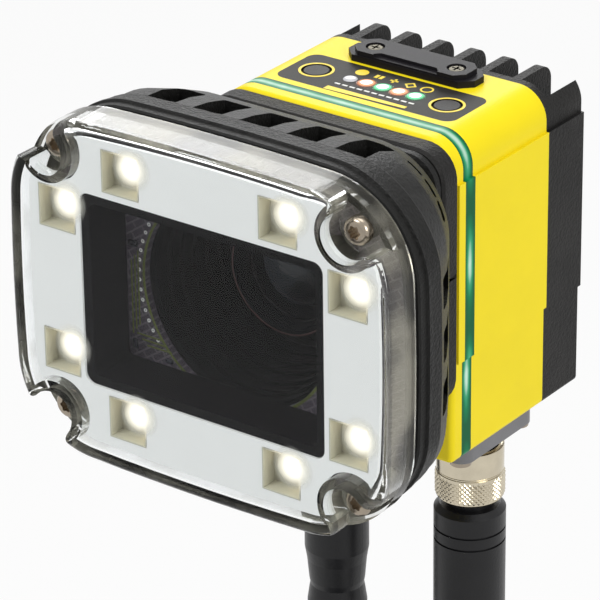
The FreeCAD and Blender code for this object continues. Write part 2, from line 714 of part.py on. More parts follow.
def camera_cover(sleeve, pipe):
    """Cover: the sleeve with its groove, panel recess and openings."""
    recess = slab("panel_long", "panel_wide", "panel_round", PANEL_FLOOR, "body_height",
                  y="-panel_depth")
    holes = [pin("button_cap + 2 * button_gap", "0", "body_height", x=x, y="-panel_depth")
             for x in each_side("button_spacing / 2")]
    lamp_slot = slab("lamp_pitch * lamp_count", "lamp_round + 1", "lamp_round / 2", "0",
                     "body_height", x="lamp_shift", y="-panel_depth")
    card_slot = slab("card_slot_long", "card_slot_wide", "small_round", "0",
                     "body_height", y="-card_depth")
    card_holes = [pin("card_screw_shank", "0", "body_height", x=x, y="-card_depth")
                  for x in each_side("card_screw_spacing / 2")]
    below = [pin("shell_collar + 2", "-body_height", "0", x=x, y="-plug_depth")
             for x in each_side("plug_spacing / 2")]
    below += [pin("card_screw_shank", "-body_height", f"{BODY_FOOT} + cover_wall", x=x, y=y)
              for x, y in plate_screw_spots()]
    tools = [pipe, recess, lamp_slot, card_slot, *holes, *card_holes, *below]
    return named(less(sleeve, *tools), "body_cover")


def control_panel():
    """Thin panel sheet in the recess, pierced for the buttons and the status lamps."""
    sheet = slab("panel_long", "panel_wide", "panel_round", PANEL_FLOOR, BODY_TOP,
                 y="-panel_depth")
    holes = [pin("button_cap + 2 * button_gap", "0", "body_height", x=x, y="-panel_depth")
             for x in each_side("button_spacing / 2")]
    lamps = [pin("lamp_round", "0", "body_height", x=f"lamp_shift + {x}", y="-panel_depth")
             for x in in_row("lamp_count", "lamp_pitch")]
    return named(less(sheet, *holes, *lamps), "control_panel")


def button(name, x):
    """Push button: cap through the cover, collar under it, stem down to its key."""
    under = "(cover_wall + button_gap)"
    collar = "button_collar / 2"
    cap = "button_cap / 2"
    points = [
        ("0", "0"),
        (f"{cap} - button_edge", "0"),
        (cap, "-button_edge"),
        (cap, f"-{under}"),
        (collar, f"-{under}"),
        (collar, f"-{under} - button_collar_high"),
        ("button_cap / 4", f"-{under} - button_collar_high"),
        ("button_cap / 4", f"-{under} - button_stem"),
        ("0", f"-{under} - button_stem"),
    ]
    return turned(name, points, x=x, y="-panel_depth", z=BODY_TOP)


def status_lamps():
    """Five clear lamp rods from the board to the panel, each with a crown."""
    rods = []
    for step in in_row("lamp_count", "lamp_pitch"):
        x = f"lamp_shift + {step}"
        column = pin("lamp_round", KEY_BOARD_TOP, BODY_TOP, x=x, y="-panel_depth")
        crown = DOC.addObject("Part::Ellipsoid", "crown")
        bind(crown, "Radius1", "lamp_stand")
        bind(crown, "Radius2", "lamp_round / 2")
        bind(crown, "Radius3", "lamp_round / 2")
        place(crown, "up", x, "-panel_depth", BODY_TOP)
        rods.append(joined(column, crown))
    return named(together(rods), "status_lamps")


def key_board():
    """Board under the panel, with a key below each button."""
    board = slab("key_board_long", "key_board_wide", "key_board_round",
                 f"{KEY_BOARD_TOP} - board_thick", KEY_BOARD_TOP, y="-panel_depth")
    stem_foot = f"{WALL_UNDER} - button_gap - button_stem"
    keys = []
    for x in each_side("button_spacing / 2"):
        keys.append(pin("key_round", KEY_BOARD_TOP, f"{stem_foot} - button_travel - button_gap",
                        x=x, y="-panel_depth"))
    return named(joined(board, *keys), "key_board")


def cut_cornered(name, long, wide, cut, low, high, y):
    """Flat plate with four cut corners, from one height to another."""
    body = new_body(name)
    sketch = body_sketch(body, "up", y=y, out=low)
    x, y = f"({long}) / 2", f"({wide}) / 2"
    draw_outline(sketch, [
        (x, f"{y} - {cut}"),
        (f"{x} - {cut}", y),
        (f"{cut} - {x}", y),
        (f"-{x}", f"{y} - {cut}"),
        (f"-{x}", f"{cut} - {y}"),
        (f"{cut} - {x}", f"-{y}"),
        (f"{x} - {cut}", f"-{y}"),
        (x, f"{cut} - {y}"),
    ])
    pad(body, sketch, f"({high}) - ({low})")
    return body


CARD_TOP = f"{BODY_TOP} + card_high"
CARD_HEAD_FOOT = f"{CARD_TOP} - card_screw_sink - card_screw_high"


def card_cover():
    """Cover over the card slot: base and raised plate with cut corners, ledge along the front."""
    base = cut_cornered("card_base", "card_long", "card_wide", "card_corner", BODY_TOP,
                        f"{BODY_TOP} + card_step", "-card_depth")
    raised = cut_cornered("card_pad", "card_pad_long", "card_wide - 2 * card_pad_back",
                          "card_pad_corner", f"{BODY_TOP} + card_step", CARD_TOP, "-card_depth")
    ledge = cut_cornered("card_ledge", "card_ledge_long", "2 * card_ledge_wide",
                         "card_ledge_corner", f"{CARD_TOP} - card_ledge_drop",
                         f"{CARD_TOP} + card_high", "-card_depth - card_wide / 2")
    holes = []
    for x in each_side("card_screw_spacing / 2"):
        holes.append(pin("card_screw_shank", "0", "body_height", x=x, y="-card_depth"))
        holes.append(pin("card_screw_head + 2 * card_screw_gap", CARD_HEAD_FOOT, "body_height",
                         x=x, y="-card_depth"))
    return named(less(joined(base, raised), ledge, *holes), "card_cover")


def screw(x, y, head_foot, head, head_high, shank, grip, socket):
    """Upright cap screw: head with a star socket, plain shank."""
    top = pin(head, head_foot, f"({head_foot}) + {head_high}", x=x, y=y)
    stem = pin(shank, f"({head_foot}) - ({grip})", head_foot, x=x, y=y)
    star = pin(socket, f"({head_foot}) + {head_high} / 2", f"({head_foot}) + 2 * {head_high}",
               x=x, y=y)
    return less(joined(top, stem), star)


def card_cover_screws():
    """Two small screws that hold the card cover."""
    made = [screw(x, "-card_depth", CARD_HEAD_FOOT, "card_screw_head", "card_screw_high",
                  "card_screw_shank", "card_high + cover_wall", "card_screw_socket")
            for x in each_side("card_screw_spacing / 2")]
    return named(together(made), "card_cover_screws")


def card_socket():
    """Metal card socket under the slot."""
    shell = slab("card_slot_long + 2 * card_socket_wall", "card_slot_wide + 2 * card_socket_wall",
                 "small_round", TRAY_TOP, WALL_UNDER, y="-card_depth")
    way = slab("card_slot_long", "card_slot_wide", "small_round", f"{TRAY_TOP} + card_socket_wall",
               "body_height", y="-card_depth")
    return named(less(shell, way), "card_socket")


# ---------------------------------------------------------------- optics

AXIS = "axis_rise"
PLATE_FRONT = "cover_front + front_plate_thick"
NOSE_FRONT = f"{PLATE_FRONT} + adapter_deep"
TRAY_FLOOR = "cover_back"
BOARD_FRONT = "light_back + light_floor + board_lift + board_thick"


def front_plate():
    """Square plate on the cover's face, with the bore for the lens."""
    sheet = new_body("plate_blank")
    sketch = body_sketch(sheet, "front", y=AXIS, out="cover_front")
    draw_rounded(sketch, "front_plate_side", "front_plate_side", "front_plate_round")
    pad(sheet, sketch, "front_plate_thick")
    front = -number(PLATE_FRONT)
    round_edges(sheet, lambda p: abs(p.y - front) < 1e-3, "front_plate_edge")
    bore = rod("lens_bore", "0", PLATE_FRONT + " + 1", z=AXIS)
    step = rod("barrel_flange + 2 * seat_gap", "0", "cover_front + flange_in", z=AXIS)
    return named(less(sheet, bore, step), "front_plate")


def lens_barrel():
    """Lens barrel with a flange in the front plate's step and grip rings."""
    r = "barrel_round / 2"
    flange = "barrel_flange / 2"
    points = [
        ("barrel_back", "rear_glass / 2"),
        ("barrel_back", f"{r} - barrel_tail_step"),
        ("barrel_back + barrel_tail", f"{r} - barrel_tail_step"),
        ("barrel_back + barrel_tail", r),
        ("cover_front - flange_out", r),
        ("cover_front - flange_out", flange),
        ("cover_front + flange_in", flange),
        ("cover_front + flange_in", r),
        ("barrel_front - barrel_lip", r),
        ("barrel_front", f"{r} - barrel_lip"),
        ("barrel_front", "front_glass / 2 + barrel_lip"),
        ("barrel_front - barrel_mouth", "front_glass / 2"),
        ("barrel_front - front_glass_sink", "front_glass / 2"),
        ("barrel_front - front_glass_sink", "rear_glass / 2"),
    ]
    return turned_forward("lens_barrel", points, z=AXIS)


def lens(name, diameter, seat, thick, crown):
    """Lens element with a crowned front."""
    disc = rod(diameter, seat, f"({seat}) + {thick}", z=AXIS)
    ball = DOC.addObject("Part::Ellipsoid", "crown")
    bind(ball, "Radius1", crown)
    bind(ball, "Radius2", f"({diameter}) / 2")
    bind(ball, "Radius3", f"({diameter}) / 2")
    place(ball, "front", "0", f"-(({seat}) + {thick})", AXIS)
    return named(joined(disc, ball), name)


def sensor_pieces():
    """Sensor board, image sensor, main board and the posts that carry them."""
    back = "barrel_back - chip_thick - board_thick - chip_gap"
    board = block("sensor_board_side", "sensor_board_side", "board_round", back,
                  f"{back} + board_thick", z=AXIS)
    chip = block("chip_wide", "chip_tall", "small_round", f"{back} + board_thick",
                 f"{back} + board_thick + chip_thick", z=AXIS)
    main_back = f"{TRAY_FLOOR} + post_stand"
    main_front = f"{main_back} + board_thick"
    main = block(f"{TRAY_WIDE} - 2 * (tray_wall + main_board_side)",
                 f"{TRAY_TALL} - 2 * tray_wall - main_board_head - main_board_under",
                 "board_round", main_back, main_front,
                 z=f"{TRAY_MIDDLE} + (main_board_under - main_board_head) / 2")
    lower, upper = [], []
    for x in each_side("post_spacing / 2"):
        for z in each_side("post_spacing / 2"):
            lower.append(rod("post_round", TRAY_FLOOR, main_back, x=x, z=f"{AXIS} + {z}"))
            upper.append(rod("post_round", main_front, back, x=x, z=f"{AXIS} + {z}"))
    return [
        named(board, "sensor_board"),
        named(chip, "image_sensor"),
        named(main, "main_board"),
        named(together(lower + upper), "board_posts"),
    ]


def light_adapter():
    """Adapter between camera and light: square rim, then a bevel to a rounder end."""
    rim_side = "front_plate_side - 2 * adapter_inset"
    body = new_body("adapter_blank")
    rim = body_sketch(body, "front", y=AXIS, out=PLATE_FRONT)
    draw_rounded(rim, rim_side, rim_side, "front_plate_round")
    pad(body, rim, "adapter_rim")
    wide = body_sketch(body, "front", y=AXIS, out=f"{PLATE_FRONT} + adapter_rim")
    draw_rounded(wide, rim_side, rim_side, "front_plate_round")
    narrow = body_sketch(body, "front", y=AXIS, out=NOSE_FRONT)
    draw_rounded(narrow, "adapter_nose", "adapter_nose", "adapter_nose_round")
    loft = body.newObject("PartDesign::AdditiveLoft", "bevel")
    loft.Profile = wide
    loft.Sections = [narrow]
    loft.Ruled = True
    DOC.recompute()
    bore = rod("lens_bore + 2", "0", f"{NOSE_FRONT} + 1", z=AXIS)
    return named(less(body, bore), "light_adapter")


def light_hood():
    """Black hood between the light board and the lens, stepped inside to trap stray light."""
    wide = "light_board_hole / 2 + 1"
    small = "hood_small / 2"
    front = f"{BOARD_FRONT} - board_thick - hood_flange"
    back = NOSE_FRONT
    steps = round(number("hood_steps"))
    outer = [(back, small), (front, wide), (f"{front} + hood_flange", wide)]
    inner = [(f"{front} + hood_flange", "light_board_hole / 2")]
    for i in range(steps):
        near = f"({front}) + (({back}) - ({front})) * {i} / hood_steps"
        far = f"({front}) + (({back}) - ({front})) * {i + 1} / hood_steps"
        radius = (f"light_board_hole / 2 + ({small} - hood_wall - light_board_hole / 2)"
                  f" * {i + 1} / hood_steps")
        inner.append((near, radius))
        inner.append((far, radius))
    return turned_forward("light_hood", outer + inner, z=AXIS)


# ---------------------------------------------------------------- ring light

def bowed_plate(name, inset, start, end, edge=None):
    """Plate with the light's outline: sides bowed outwards, corners and front edge rounded."""
    body = new_body(name)
    sketch = body_sketch(body, "front", y=AXIS, out=start)
    half_w = f"(light_width / 2 - light_bow - ({inset}))"
    half_h = f"(light_height / 2 - light_bow - ({inset}))"
    w, h, bow = number(half_w), number(half_h), number("light_bow")
    ends = [(w, h), (-w, h), (-w, -h), (w, -h)]
    mids = [(0, h + bow), (-w - bow, 0), (0, -h - bow), (w + bow, 0)]
    for i, middle in enumerate(mids):
        a, b = ends[i], ends[(i + 1) % 4]
        sketch.addGeometry(Part.Arc(Vector(*a, 0), Vector(*middle, 0), Vector(*b, 0)))
    for i in range(4):
        sketch.addConstraint(Sketcher.Constraint("Coincident", i, 2, (i + 1) % 4, 1))
    for i, (sx, sy) in enumerate((("", ""), ("-", ""), ("-", "-"), ("", "-"))):
        size_constraint(sketch, "DistanceX", -1, 1, i, 1, to=sx + half_w)
        size_constraint(sketch, "DistanceY", -1, 1, i, 1, to=sy + half_h)
    for i, half in enumerate((half_w, half_h, half_w, half_h)):
        size_constraint(sketch, "Radius", i, to=f"({half} * {half} + light_bow * light_bow)"
                                                " / (2 * light_bow)")
    pad(body, sketch, f"({end}) - ({start})")
    near = number(AXIS)
    round_edges(body, lambda p: abs(abs(p.x) - w) < 1e-3 and abs(abs(p.z - near) - h) < 1e-3,
                f"light_round - ({inset})")
    if edge:
        face = -number(end)
        round_edges(body, lambda p: abs(p.y - face) < 1e-3, edge)
    return body


def vane_ring():
    """Tapered block behind the housing that the air slots divide into vanes."""
    body = new_body("vane_blank")
    wide = body_sketch(body, "front", y=AXIS, out="light_back + vane_sink")
    draw_rounded(wide, "light_width - 2 * vane_margin", "light_height - 2 * vane_margin",
                 "light_round - vane_margin")
    narrow = body_sketch(body, "front", y=AXIS, out=NOSE_FRONT)
    draw_rounded(narrow, "adapter_nose", "adapter_nose", "adapter_nose_round")
    loft = body.newObject("PartDesign::AdditiveLoft", "taper")
    loft.Profile = wide
    loft.Sections = [narrow]
    loft.Ruled = True
    DOC.recompute()
    return body


def air_slots():
    """Slots through the vane ring, running outwards on all four sides and at the corners."""
    first = f"{NOSE_FRONT} + vane_rim"
    last = "light_back + slot_bite"
    long = f"{last} - ({first})"
    slots = []
    for x in in_row("slots_across", "slot_pitch"):
        for z in (f"{AXIS} + slot_floor", f"{AXIS} - slot_floor - light_height"):
            slots.append(brick("slot_width", long, "light_height", f"{x} - slot_width / 2",
                               f"-({last})", z))
    for z in in_row("slots_upright", "slot_pitch"):
        for x in ("slot_floor", "-slot_floor - light_width"):
            slots.append(brick("light_width", long, "slot_width", x, f"-({last})",
                               f"{AXIS} + {z} - slot_width / 2"))
    for sx in ("", "-"):
        for sz in ("", "-"):
            for step in in_row("corner_slots", "corner_slot_pitch"):
                x = f"{sx}(corner_slot_x - {step} * {HALF_TURN})"
                z = f"{sz}(corner_slot_z + {step} * {HALF_TURN})"
                slots.append(corner_bar("corner_slot_width", "light_round * 2", first, last, x,
                                        f"{AXIS} + {z}", sx, sz))
    return slots


HALF_TURN = "0.70710678"  # sine and cosine of the corners' 45 degree diagonals
# the light's screws, lamps and window keep their distance from its outline
POST_X = "(light_width / 2 - post_side_in)"
POST_Z = "(light_height / 2 - post_end_in)"
LAMP_X = "(light_width / 2 - lamp_side_in)"
LAMP_Z = "(light_height / 2 - lamp_end_in)"
WINDOW_WIDE = "(light_width - 2 * window_side_in)"
WINDOW_TALL = "(light_height - 2 * window_end_in)"


def screw_spots():
    """Places of the four cover screws, as expressions from the optical axis."""
    return [(f"{sx}{POST_X}", f"{sz}{POST_Z}", sx, sz) for sx in ("", "-") for sz in ("", "-")]


def light_housing():
    """Housing of the ring light: open tray in front, bore behind, vanes round the back."""
    tray = bowed_plate("light_tray", "0", "light_back", "light_face")
    rib = "light_face - light_rib_back"
    bead = bowed_plate("light_bead", "-light_rib", rib, f"{rib} + light_rib_wide")
    vanes = vane_ring()
    hollow = bowed_plate("light_hollow", "light_wall", "light_back + light_floor",
                         "light_face + 1")
    bore = rod("light_bore", f"{NOSE_FRONT} + flange_thick", "light_face + 1", z=AXIS)
    mouth = rod("hood_small + 2 * hood_gap", "0", "light_face + 1", z=AXIS)
    shell = less(joined(tray, bead, vanes), hollow, bore, mouth, *air_slots())
    posts, holes = [], []
    for x, z, _, _ in screw_spots():
        posts.append(rod("screw_post", "light_back + light_floor / 2", "light_face", x=x,
                         z=f"{AXIS} + {z}"))
        holes.append(rod("cover_screw_shank", "screw_seat - cover_screw_grip", "clear_front",
                         x=x, z=f"{AXIS} + {z}"))
    return named(less(joined(shell, *posts), *holes), "light_housing")


def light_seal():
    """Flat seal between the housing and the clear cover."""
    outer = bowed_plate("seal_outer", "seal_inset", "light_face", "light_face + seal_thick")
    inner = bowed_plate("seal_inner", "seal_inset + seal_width", "light_face - 1",
                        "light_face + seal_thick + 1")
    eyes = [rod("screw_post", "light_face", "light_face + seal_thick", x=x, z=f"{AXIS} + {z}")
            for x, z, _, _ in screw_spots()]
    holes = [rod("cover_screw_shank", "0", "clear_front", x=x, z=f"{AXIS} + {z}")
             for x, z, _, _ in screw_spots()]
    return named(less(joined(less(outer, inner), *eyes), *holes), "light_seal")


def clear_cover():
    """Clear tray over the light, notched at each corner for its screw."""
    back = "light_face + seal_thick"
    outer = bowed_plate("clear_outer", "0", back, "clear_front", edge="clear_edge")
    hollow = bowed_plate("clear_hollow", "clear_wall", f"{back} - 1", "clear_front - clear_face",
                         edge="clear_edge - clear_face / 2")
    face_middle = "clear_front - clear_face / 2"
    walls, notches, holes = [], [], []
    for x, z, sx, sz in screw_spots():
        height = f"{AXIS} + {z}"
        thick = "2 * (notch_round + notch_wall)"
        reach = "light_round"
        wall = joined(
            rod(thick, back, face_middle, x=x, z=height),
            corner_bar(thick, reach, back, face_middle, x, height, sx, sz),
        )
        walls.append(wall)
        notches.append(joined(
            rod("2 * notch_round", "screw_seat", "clear_front + 1", x=x, z=height),
            corner_bar("2 * notch_round", reach, "screw_seat", "clear_front + 1", x, height,
                       sx, sz),
            *mouth_flares(sx, sz),
        ))
        holes.append(rod("cover_screw_shank + 2 * cover_screw_gap", "light_face", "clear_front",
                         x=x, z=height))
    room = less(hollow, *walls)
    return named(less(outer, room, *notches, *holes), "clear_cover")


def corner_bar(wide, long, start, end, x, z, sx, sz):
    """Bar from a screw's axis outwards along the corner's diagonal."""
    solid = DOC.addObject("Part::Box", "bar")
    bind(solid, "Length", long)
    bind(solid, "Width", wide)
    bind(solid, "Height", f"({end}) - ({start})")
    angle = {("", ""): 45, ("-", ""): 135, ("-", "-"): 225, ("", "-"): 315}[(sx, sz)]
    turn = FRONT.multiply(FreeCAD.Rotation(Vector(0, 0, 1), angle))
    a = math.radians(angle)
    dx, dz = round(math.sin(a), 9), round(-math.cos(a), 9)
    solid.Placement = FreeCAD.Placement(Vector(), turn)
    bind(solid, "Placement.Base.x", f"{x} + ({wide}) / 2 * {dx}")
    bind(solid, "Placement.Base.y", f"-({start})")
    bind(solid, "Placement.Base.z", f"{z} + ({wide}) / 2 * {dz}")
    return solid


def mouth_flares(sx, sz):
    """Cutters that round both edges where a screw's notch meets the cover's corner."""
    x0, z0 = "(light_width / 2 - light_round)", "(light_height / 2 - light_round)"
    # the screw's place in a frame turned to the corner's diagonal: along it and across it
    across = f"((({POST_Z} - {z0}) - ({POST_X} - {x0})) * {HALF_TURN})"
    flares = []
    for way in ("", "-"):
        side = f"({across} + {way}(notch_round + notch_flare))"
        out = f"sqrt((light_round - notch_flare)^2 - {side} * {side})"
        cutter = f"(notch_flare * {side} / (light_round - notch_flare))"
        edge = f"({side} - {way}notch_flare)"
        middle_x = f"{sx}({x0} + ({out} - {side}) * {HALF_TURN})"
        middle_z = f"{sz}({z0} + ({out} + {side}) * {HALF_TURN})"
        wide = f"({way}({side} + {cutter} - {edge}))"
        middle = f"({edge} + {side} + {cutter}) / 2"
        bar_x = f"{sx}({x0} + ({out} - {middle}) * {HALF_TURN})"
        bar_z = f"{sz}({z0} + ({out} + {middle}) * {HALF_TURN})"
        bar = corner_bar(wide, "light_round", "screw_seat", "clear_front + 1", bar_x,
                         f"{AXIS} + {bar_z}", sx, sz)
        stay = rod("2 * notch_flare", "screw_seat - 1", "clear_front + 2", x=middle_x,
                   z=f"{AXIS} + {middle_z}")
        flares.append(less(bar, stay))
    return flares


def cover_screws():
    """Four pan head screws with star sockets."""
    made = []
    for x, z, _, _ in screw_spots():
        height = f"{AXIS} + {z}"
        rim = "screw_seat + cover_screw_high - cover_screw_dome"
        head = rod("cover_screw_head", "screw_seat", rim, x=x, z=height)
        dome = DOC.addObject("Part::Ellipsoid", "dome")
        bind(dome, "Radius1", "cover_screw_dome")
        bind(dome, "Radius2", "cover_screw_head / 2")
        bind(dome, "Radius3", "cover_screw_head / 2")
        place(dome, "front", x, f"-({rim})", height)
        shank = rod("cover_screw_shank", "screw_seat - cover_screw_grip", "screw_seat", x=x,
                    z=height)
        socket = rod("socket_round", "screw_seat + cover_screw_high - socket_deep",
                     "clear_front + 2", x=x, z=height)
        made.append(less(joined(head, dome, shank), socket))
    return named(together(made), "cover_screws")


def lamp_spots():
    """Places of the eight lamps, as expressions from the optical axis."""
    spots = []
    for sx in ("", "-"):
        for sz in ("", "-"):
            spots.append((f"{sx}lamp_high_x", f"{sz}{LAMP_Z}"))
            spots.append((f"{sx}{LAMP_X}", f"{sz}lamp_side_z"))
    return spots


def reflector():
    """White sheet with the window, a square opening over each lamp and notched corners."""
    back = "reflector_front - reflector_thick"
    sheet = bowed_plate("reflector_blank", "clear_wall + reflector_gap", back,
                        "reflector_front")
    window = block(WINDOW_WIDE, WINDOW_TALL, "window_round", "0", "clear_front", z=AXIS)
    openings = [block("pocket_side", "pocket_side", "small_round", "light_face", "clear_front",
                      x=x, z=f"{AXIS} + {z}") for x, z in lamp_spots()]
    notches = []
    for x, z, sx, sz in screw_spots():
        thick = "2 * (notch_round + notch_wall + reflector_notch_gap)"
        height = f"{AXIS} + {z}"
        notches.append(rod(thick, "light_face", "clear_front", x=x, z=height))
        notches.append(corner_bar(thick, "light_round", "light_face", "clear_front", x, height,
                                  sx, sz))
    return named(less(sheet, window, *openings, *notches), "reflector")


def light_board():
    """Board of the ring light with its round hole and the lamp chips."""
    board = bowed_plate("light_board_blank", "light_wall + light_board_gap",
                        f"{BOARD_FRONT} - board_thick", BOARD_FRONT)
    hole = rod("light_board_hole", "0", "clear_front", z=AXIS)
    reliefs = [rod("screw_post + light_board_gap", "0", "clear_front", x=x, z=f"{AXIS} + {z}")
               for x, z, _, _ in screw_spots()]
    return named(less(board, hole, *reliefs), "light_board")


def board_pads():
    """Four pads that hold the light board off the housing's floor."""
    pads = [rod("pad_round", "light_back + light_floor", f"{BOARD_FRONT} - board_thick", x=x,
                z=f"{AXIS} + {z}")
            for x in each_side(LAMP_X) for z in each_side("pad_rise / 2")]
    return named(together(pads), "board_pads")


def lamp_optics():
    """Optic over each lamp: square foot, round cup and domed top."""
    optics = []
    for x, z in lamp_spots():
        height = f"{AXIS} + {z}"
        foot = block("pocket_side - 2 * lamp_gap", "pocket_side - 2 * lamp_gap",
                     "lamp_foot_round", BOARD_FRONT, f"{BOARD_FRONT} + lamp_foot", x=x, z=height)
        cup = DOC.addObject("Part::Cone", "cup")
        bind(cup, "Radius1", "lamp_cup_small / 2")
        bind(cup, "Radius2", "lamp_cup_large / 2")
        bind(cup, "Height", "cup_high - lamp_foot")
        place(cup, "front", x, f"-({BOARD_FRONT} + lamp_foot)", height)
        dome = DOC.addObject("Part::Ellipsoid", "dome")
        bind(dome, "Radius1", "lamp_dome")
        bind(dome, "Radius2", "lamp_cup_large / 2")
        bind(dome, "Radius3", "lamp_cup_large / 2")
        place(dome, "front", x, f"-({BOARD_FRONT} + cup_high)", height)
        optics.append(joined(foot, cup, dome))
    return named(together(optics), "lamp_optics")


def window_frame():
    """Deep frame of the window, from the light board to the reflector."""
    end = "reflector_front - frame_lip"
    outer = block(f"{WINDOW_WIDE} - 2 * frame_gap", f"{WINDOW_TALL} - 2 * frame_gap",
                  "window_round", BOARD_FRONT, end, z=AXIS)
    inner = block(f"{WINDOW_WIDE} - 2 * frame_wall", f"{WINDOW_TALL} - 2 * frame_wall",
                  "frame_round", "0", "clear_front", z=AXIS)
    return named(less(outer, inner), "window_frame")


# ---------------------------------------------------------------- connectors and cables

PLATE_FOOT = f"{BODY_FOOT} - plate_thick"


def connector_plate():
    """Plate under the body that carries both panel connectors."""
    blank = slab("plate_wide", "plate_deep", "plate_round", PLATE_FOOT, BODY_FOOT,
                 y="-plug_depth - plate_shift")
    ways = [pin("shell_thread", "-body_height", "0", x=x, y="-plug_depth")
            for x in each_side("plug_spacing / 2")]
    holes = [pin("card_screw_shank", PLATE_FOOT, "0", x=x, y=y) for x, y in plate_screw_spots()]
    return named(less(blank, *ways, *holes), "connector_plate")


def plate_screws():
    """Four low head screws under the connector plate."""
    made = []
    for x, y in plate_screw_spots():
        head_foot = f"{PLATE_FOOT} - plate_screw_high"
        head = pin("plate_screw_head", head_foot, PLATE_FOOT, x=x, y=y)
        stem = pin("card_screw_shank", PLATE_FOOT, f"{BODY_FOOT} + cover_wall - plate_screw_end",
                   x=x, y=y)
        star = pin("plate_screw_socket", f"{head_foot} - 1", f"{head_foot} + plate_socket_deep",
                   x=x, y=y)
        made.append(less(joined(head, stem), star))
    return named(together(made), "plate_screws")


SHELL_LONG = "(nut_drop + nut_long - nut_lip - nut_fit - core_flange_high - ring_wire)"


def panel_connector(name, x):
    """Threaded panel connector: collar, thread below, tail inside the body."""
    thread = "shell_thread / 2"
    collar = "shell_collar / 2"
    bore = "shell_bore / 2"
    points = [
        (bore, f"-{SHELL_LONG}"),
        (f"{thread} - shell_chamfer", f"-{SHELL_LONG}"),
        (thread, f"-{SHELL_LONG} + shell_chamfer"),
        (thread, "-shell_collar_high"),
        (collar, "-shell_collar_high"),
        (collar, "0"),
        (thread, "0"),
        (thread, "plate_thick + shell_tail"),
        ("0", "plate_thick + shell_tail"),
        ("0", "plate_thick"),
        (bore, "plate_thick"),
    ]
    return turned(name, points, x=x, y="-plug_depth", z=PLATE_FOOT)


def coupling_nut(name, x):
    """Knurled coupling nut round the connector's thread, with a lip that holds the plug."""
    bore = "shell_thread / 2 + nut_fit"
    lip = "core_round / 2 + nut_fit"
    collar, knurl = "nut_collar / 2", "nut_round / 2"
    points = [
        (lip, "-nut_long"),
        (f"{knurl} - nut_edge", "-nut_long"),
        (knurl, "-nut_long + nut_edge"),
        (knurl, "-nut_long + nut_knurl - nut_collar_edge"),
        (f"{knurl} - nut_collar_edge", "-nut_long + nut_knurl"),
        (collar, "-nut_long + nut_knurl"),
        (collar, "-nut_collar_edge"),
        (f"{collar} - nut_collar_edge", "0"),
        (bore, "0"),
        (bore, "-nut_long + nut_lip"),
        (lip, "-nut_long + nut_lip"),
    ]
    return turned(name, points, x=x, y="-plug_depth", z=f"{PLATE_FOOT} - nut_drop")


NUT_FOOT = f"{PLATE_FOOT} - nut_drop - nut_long"
PLUG_TOP = f"{NUT_FOOT} - nut_fit - neck_long"


def core_points():
    """Upper end of a plug's outline: core, flange inside the nut and neck."""
    core, flange = "core_round / 2", "core_flange / 2"
    flange_low = f"({NUT_FOOT}) + nut_lip + nut_fit - ({PLUG_TOP})"
    return [
        ("0", f"{flange_low} + core_long"),
        (core, f"{flange_low} + core_long"),
        (core, f"{flange_low} + core_flange_high"),
        (flange, f"{flange_low} + core_flange_high"),
        (flange, flange_low),
        (core, flange_low),
        (core, "neck_long"),
        ("neck_round / 2", "neck_long"),
        ("neck_round / 2", "0"),
    ]


def power_plug():
    """Straight moulded plug with two fine grooves and a tapered strain relief."""
    r = "power_round / 2"
    points = core_points()
    points += [(f"{r} - plug_shoulder", "0"), (r, "-plug_shoulder")]
    for i in range(2):
        top = f"-power_groove_top - {i} * power_groove_gap"
        points += [
            (r, top),
            (f"{r} - groove_deep", top),
            (f"{r} - groove_deep", f"{top} - groove_wide"),
            (r, f"{top} - groove_wide"),
        ]
    foot = "-power_long"
    points += [
        (r, f"{foot} + 1"),
        (f"{r} - 1", foot),
        ("power_relief_top / 2", foot),
        ("relief_end / 2", f"{foot} - power_relief"),
        ("0", f"{foot} - power_relief"),
    ]
    return turned("power_plug", points, x="plug_spacing / 2", y="-plug_depth", z=PLUG_TOP)


def network_plug():
    """Moulded plug with a waist, a ring below it and a tapered strain relief."""
    r = "network_round / 2"
    points = core_points()
    waist = "-network_long - network_waist_drop"
    ring = f"{waist} - network_ring_drop"
    points += [
        (f"{r} - plug_shoulder", "0"),
        (r, "-plug_shoulder"),
        (r, "-network_long + network_taper"),
        (f"{r} - network_taper_in", "-network_long"),
        ("network_waist / 2 + waist_rise", f"{waist} + waist_run"),
        ("network_waist / 2", waist),
        ("network_waist / 2 + waist_rise", f"{waist} - waist_run"),
        ("network_ring / 2", ring),
        ("network_ring / 2", f"{ring} - network_ring_long"),
        ("network_waist / 2 - relief_step", f"{ring} - network_ring_long - relief_step"),
        ("relief_end / 2", f"{ring} - network_ring_long - relief_step - network_relief"),
        ("0", f"{ring} - network_ring_long - relief_step - network_relief"),
    ]
    return turned("network_plug", points, x="-plug_spacing / 2", y="-plug_depth", z=PLUG_TOP)


POWER_END = f"{PLUG_TOP} - power_long - power_relief"
NETWORK_END = (f"{PLUG_TOP} - network_long - network_waist_drop - network_ring_drop"
               " - network_ring_long - relief_step - network_relief")


def sealing_ring(name, x):
    """Rubber ring on the plug's flange, against the connector's foot."""
    flange_top = f"({NUT_FOOT}) + nut_lip + nut_fit + core_flange_high"
    ring = DOC.addObject("Part::Torus", name)
    bind(ring, "Radius1", "core_round / 2 + ring_wire / 2")
    bind(ring, "Radius2", "ring_wire / 2")
    place(ring, "up", x, "-plug_depth", f"{flange_top} + ring_wire / 2")
    return named(ring, name)


BEND_SHARE = 0.45  # of the shorter run beside a corner, taken up by its bend


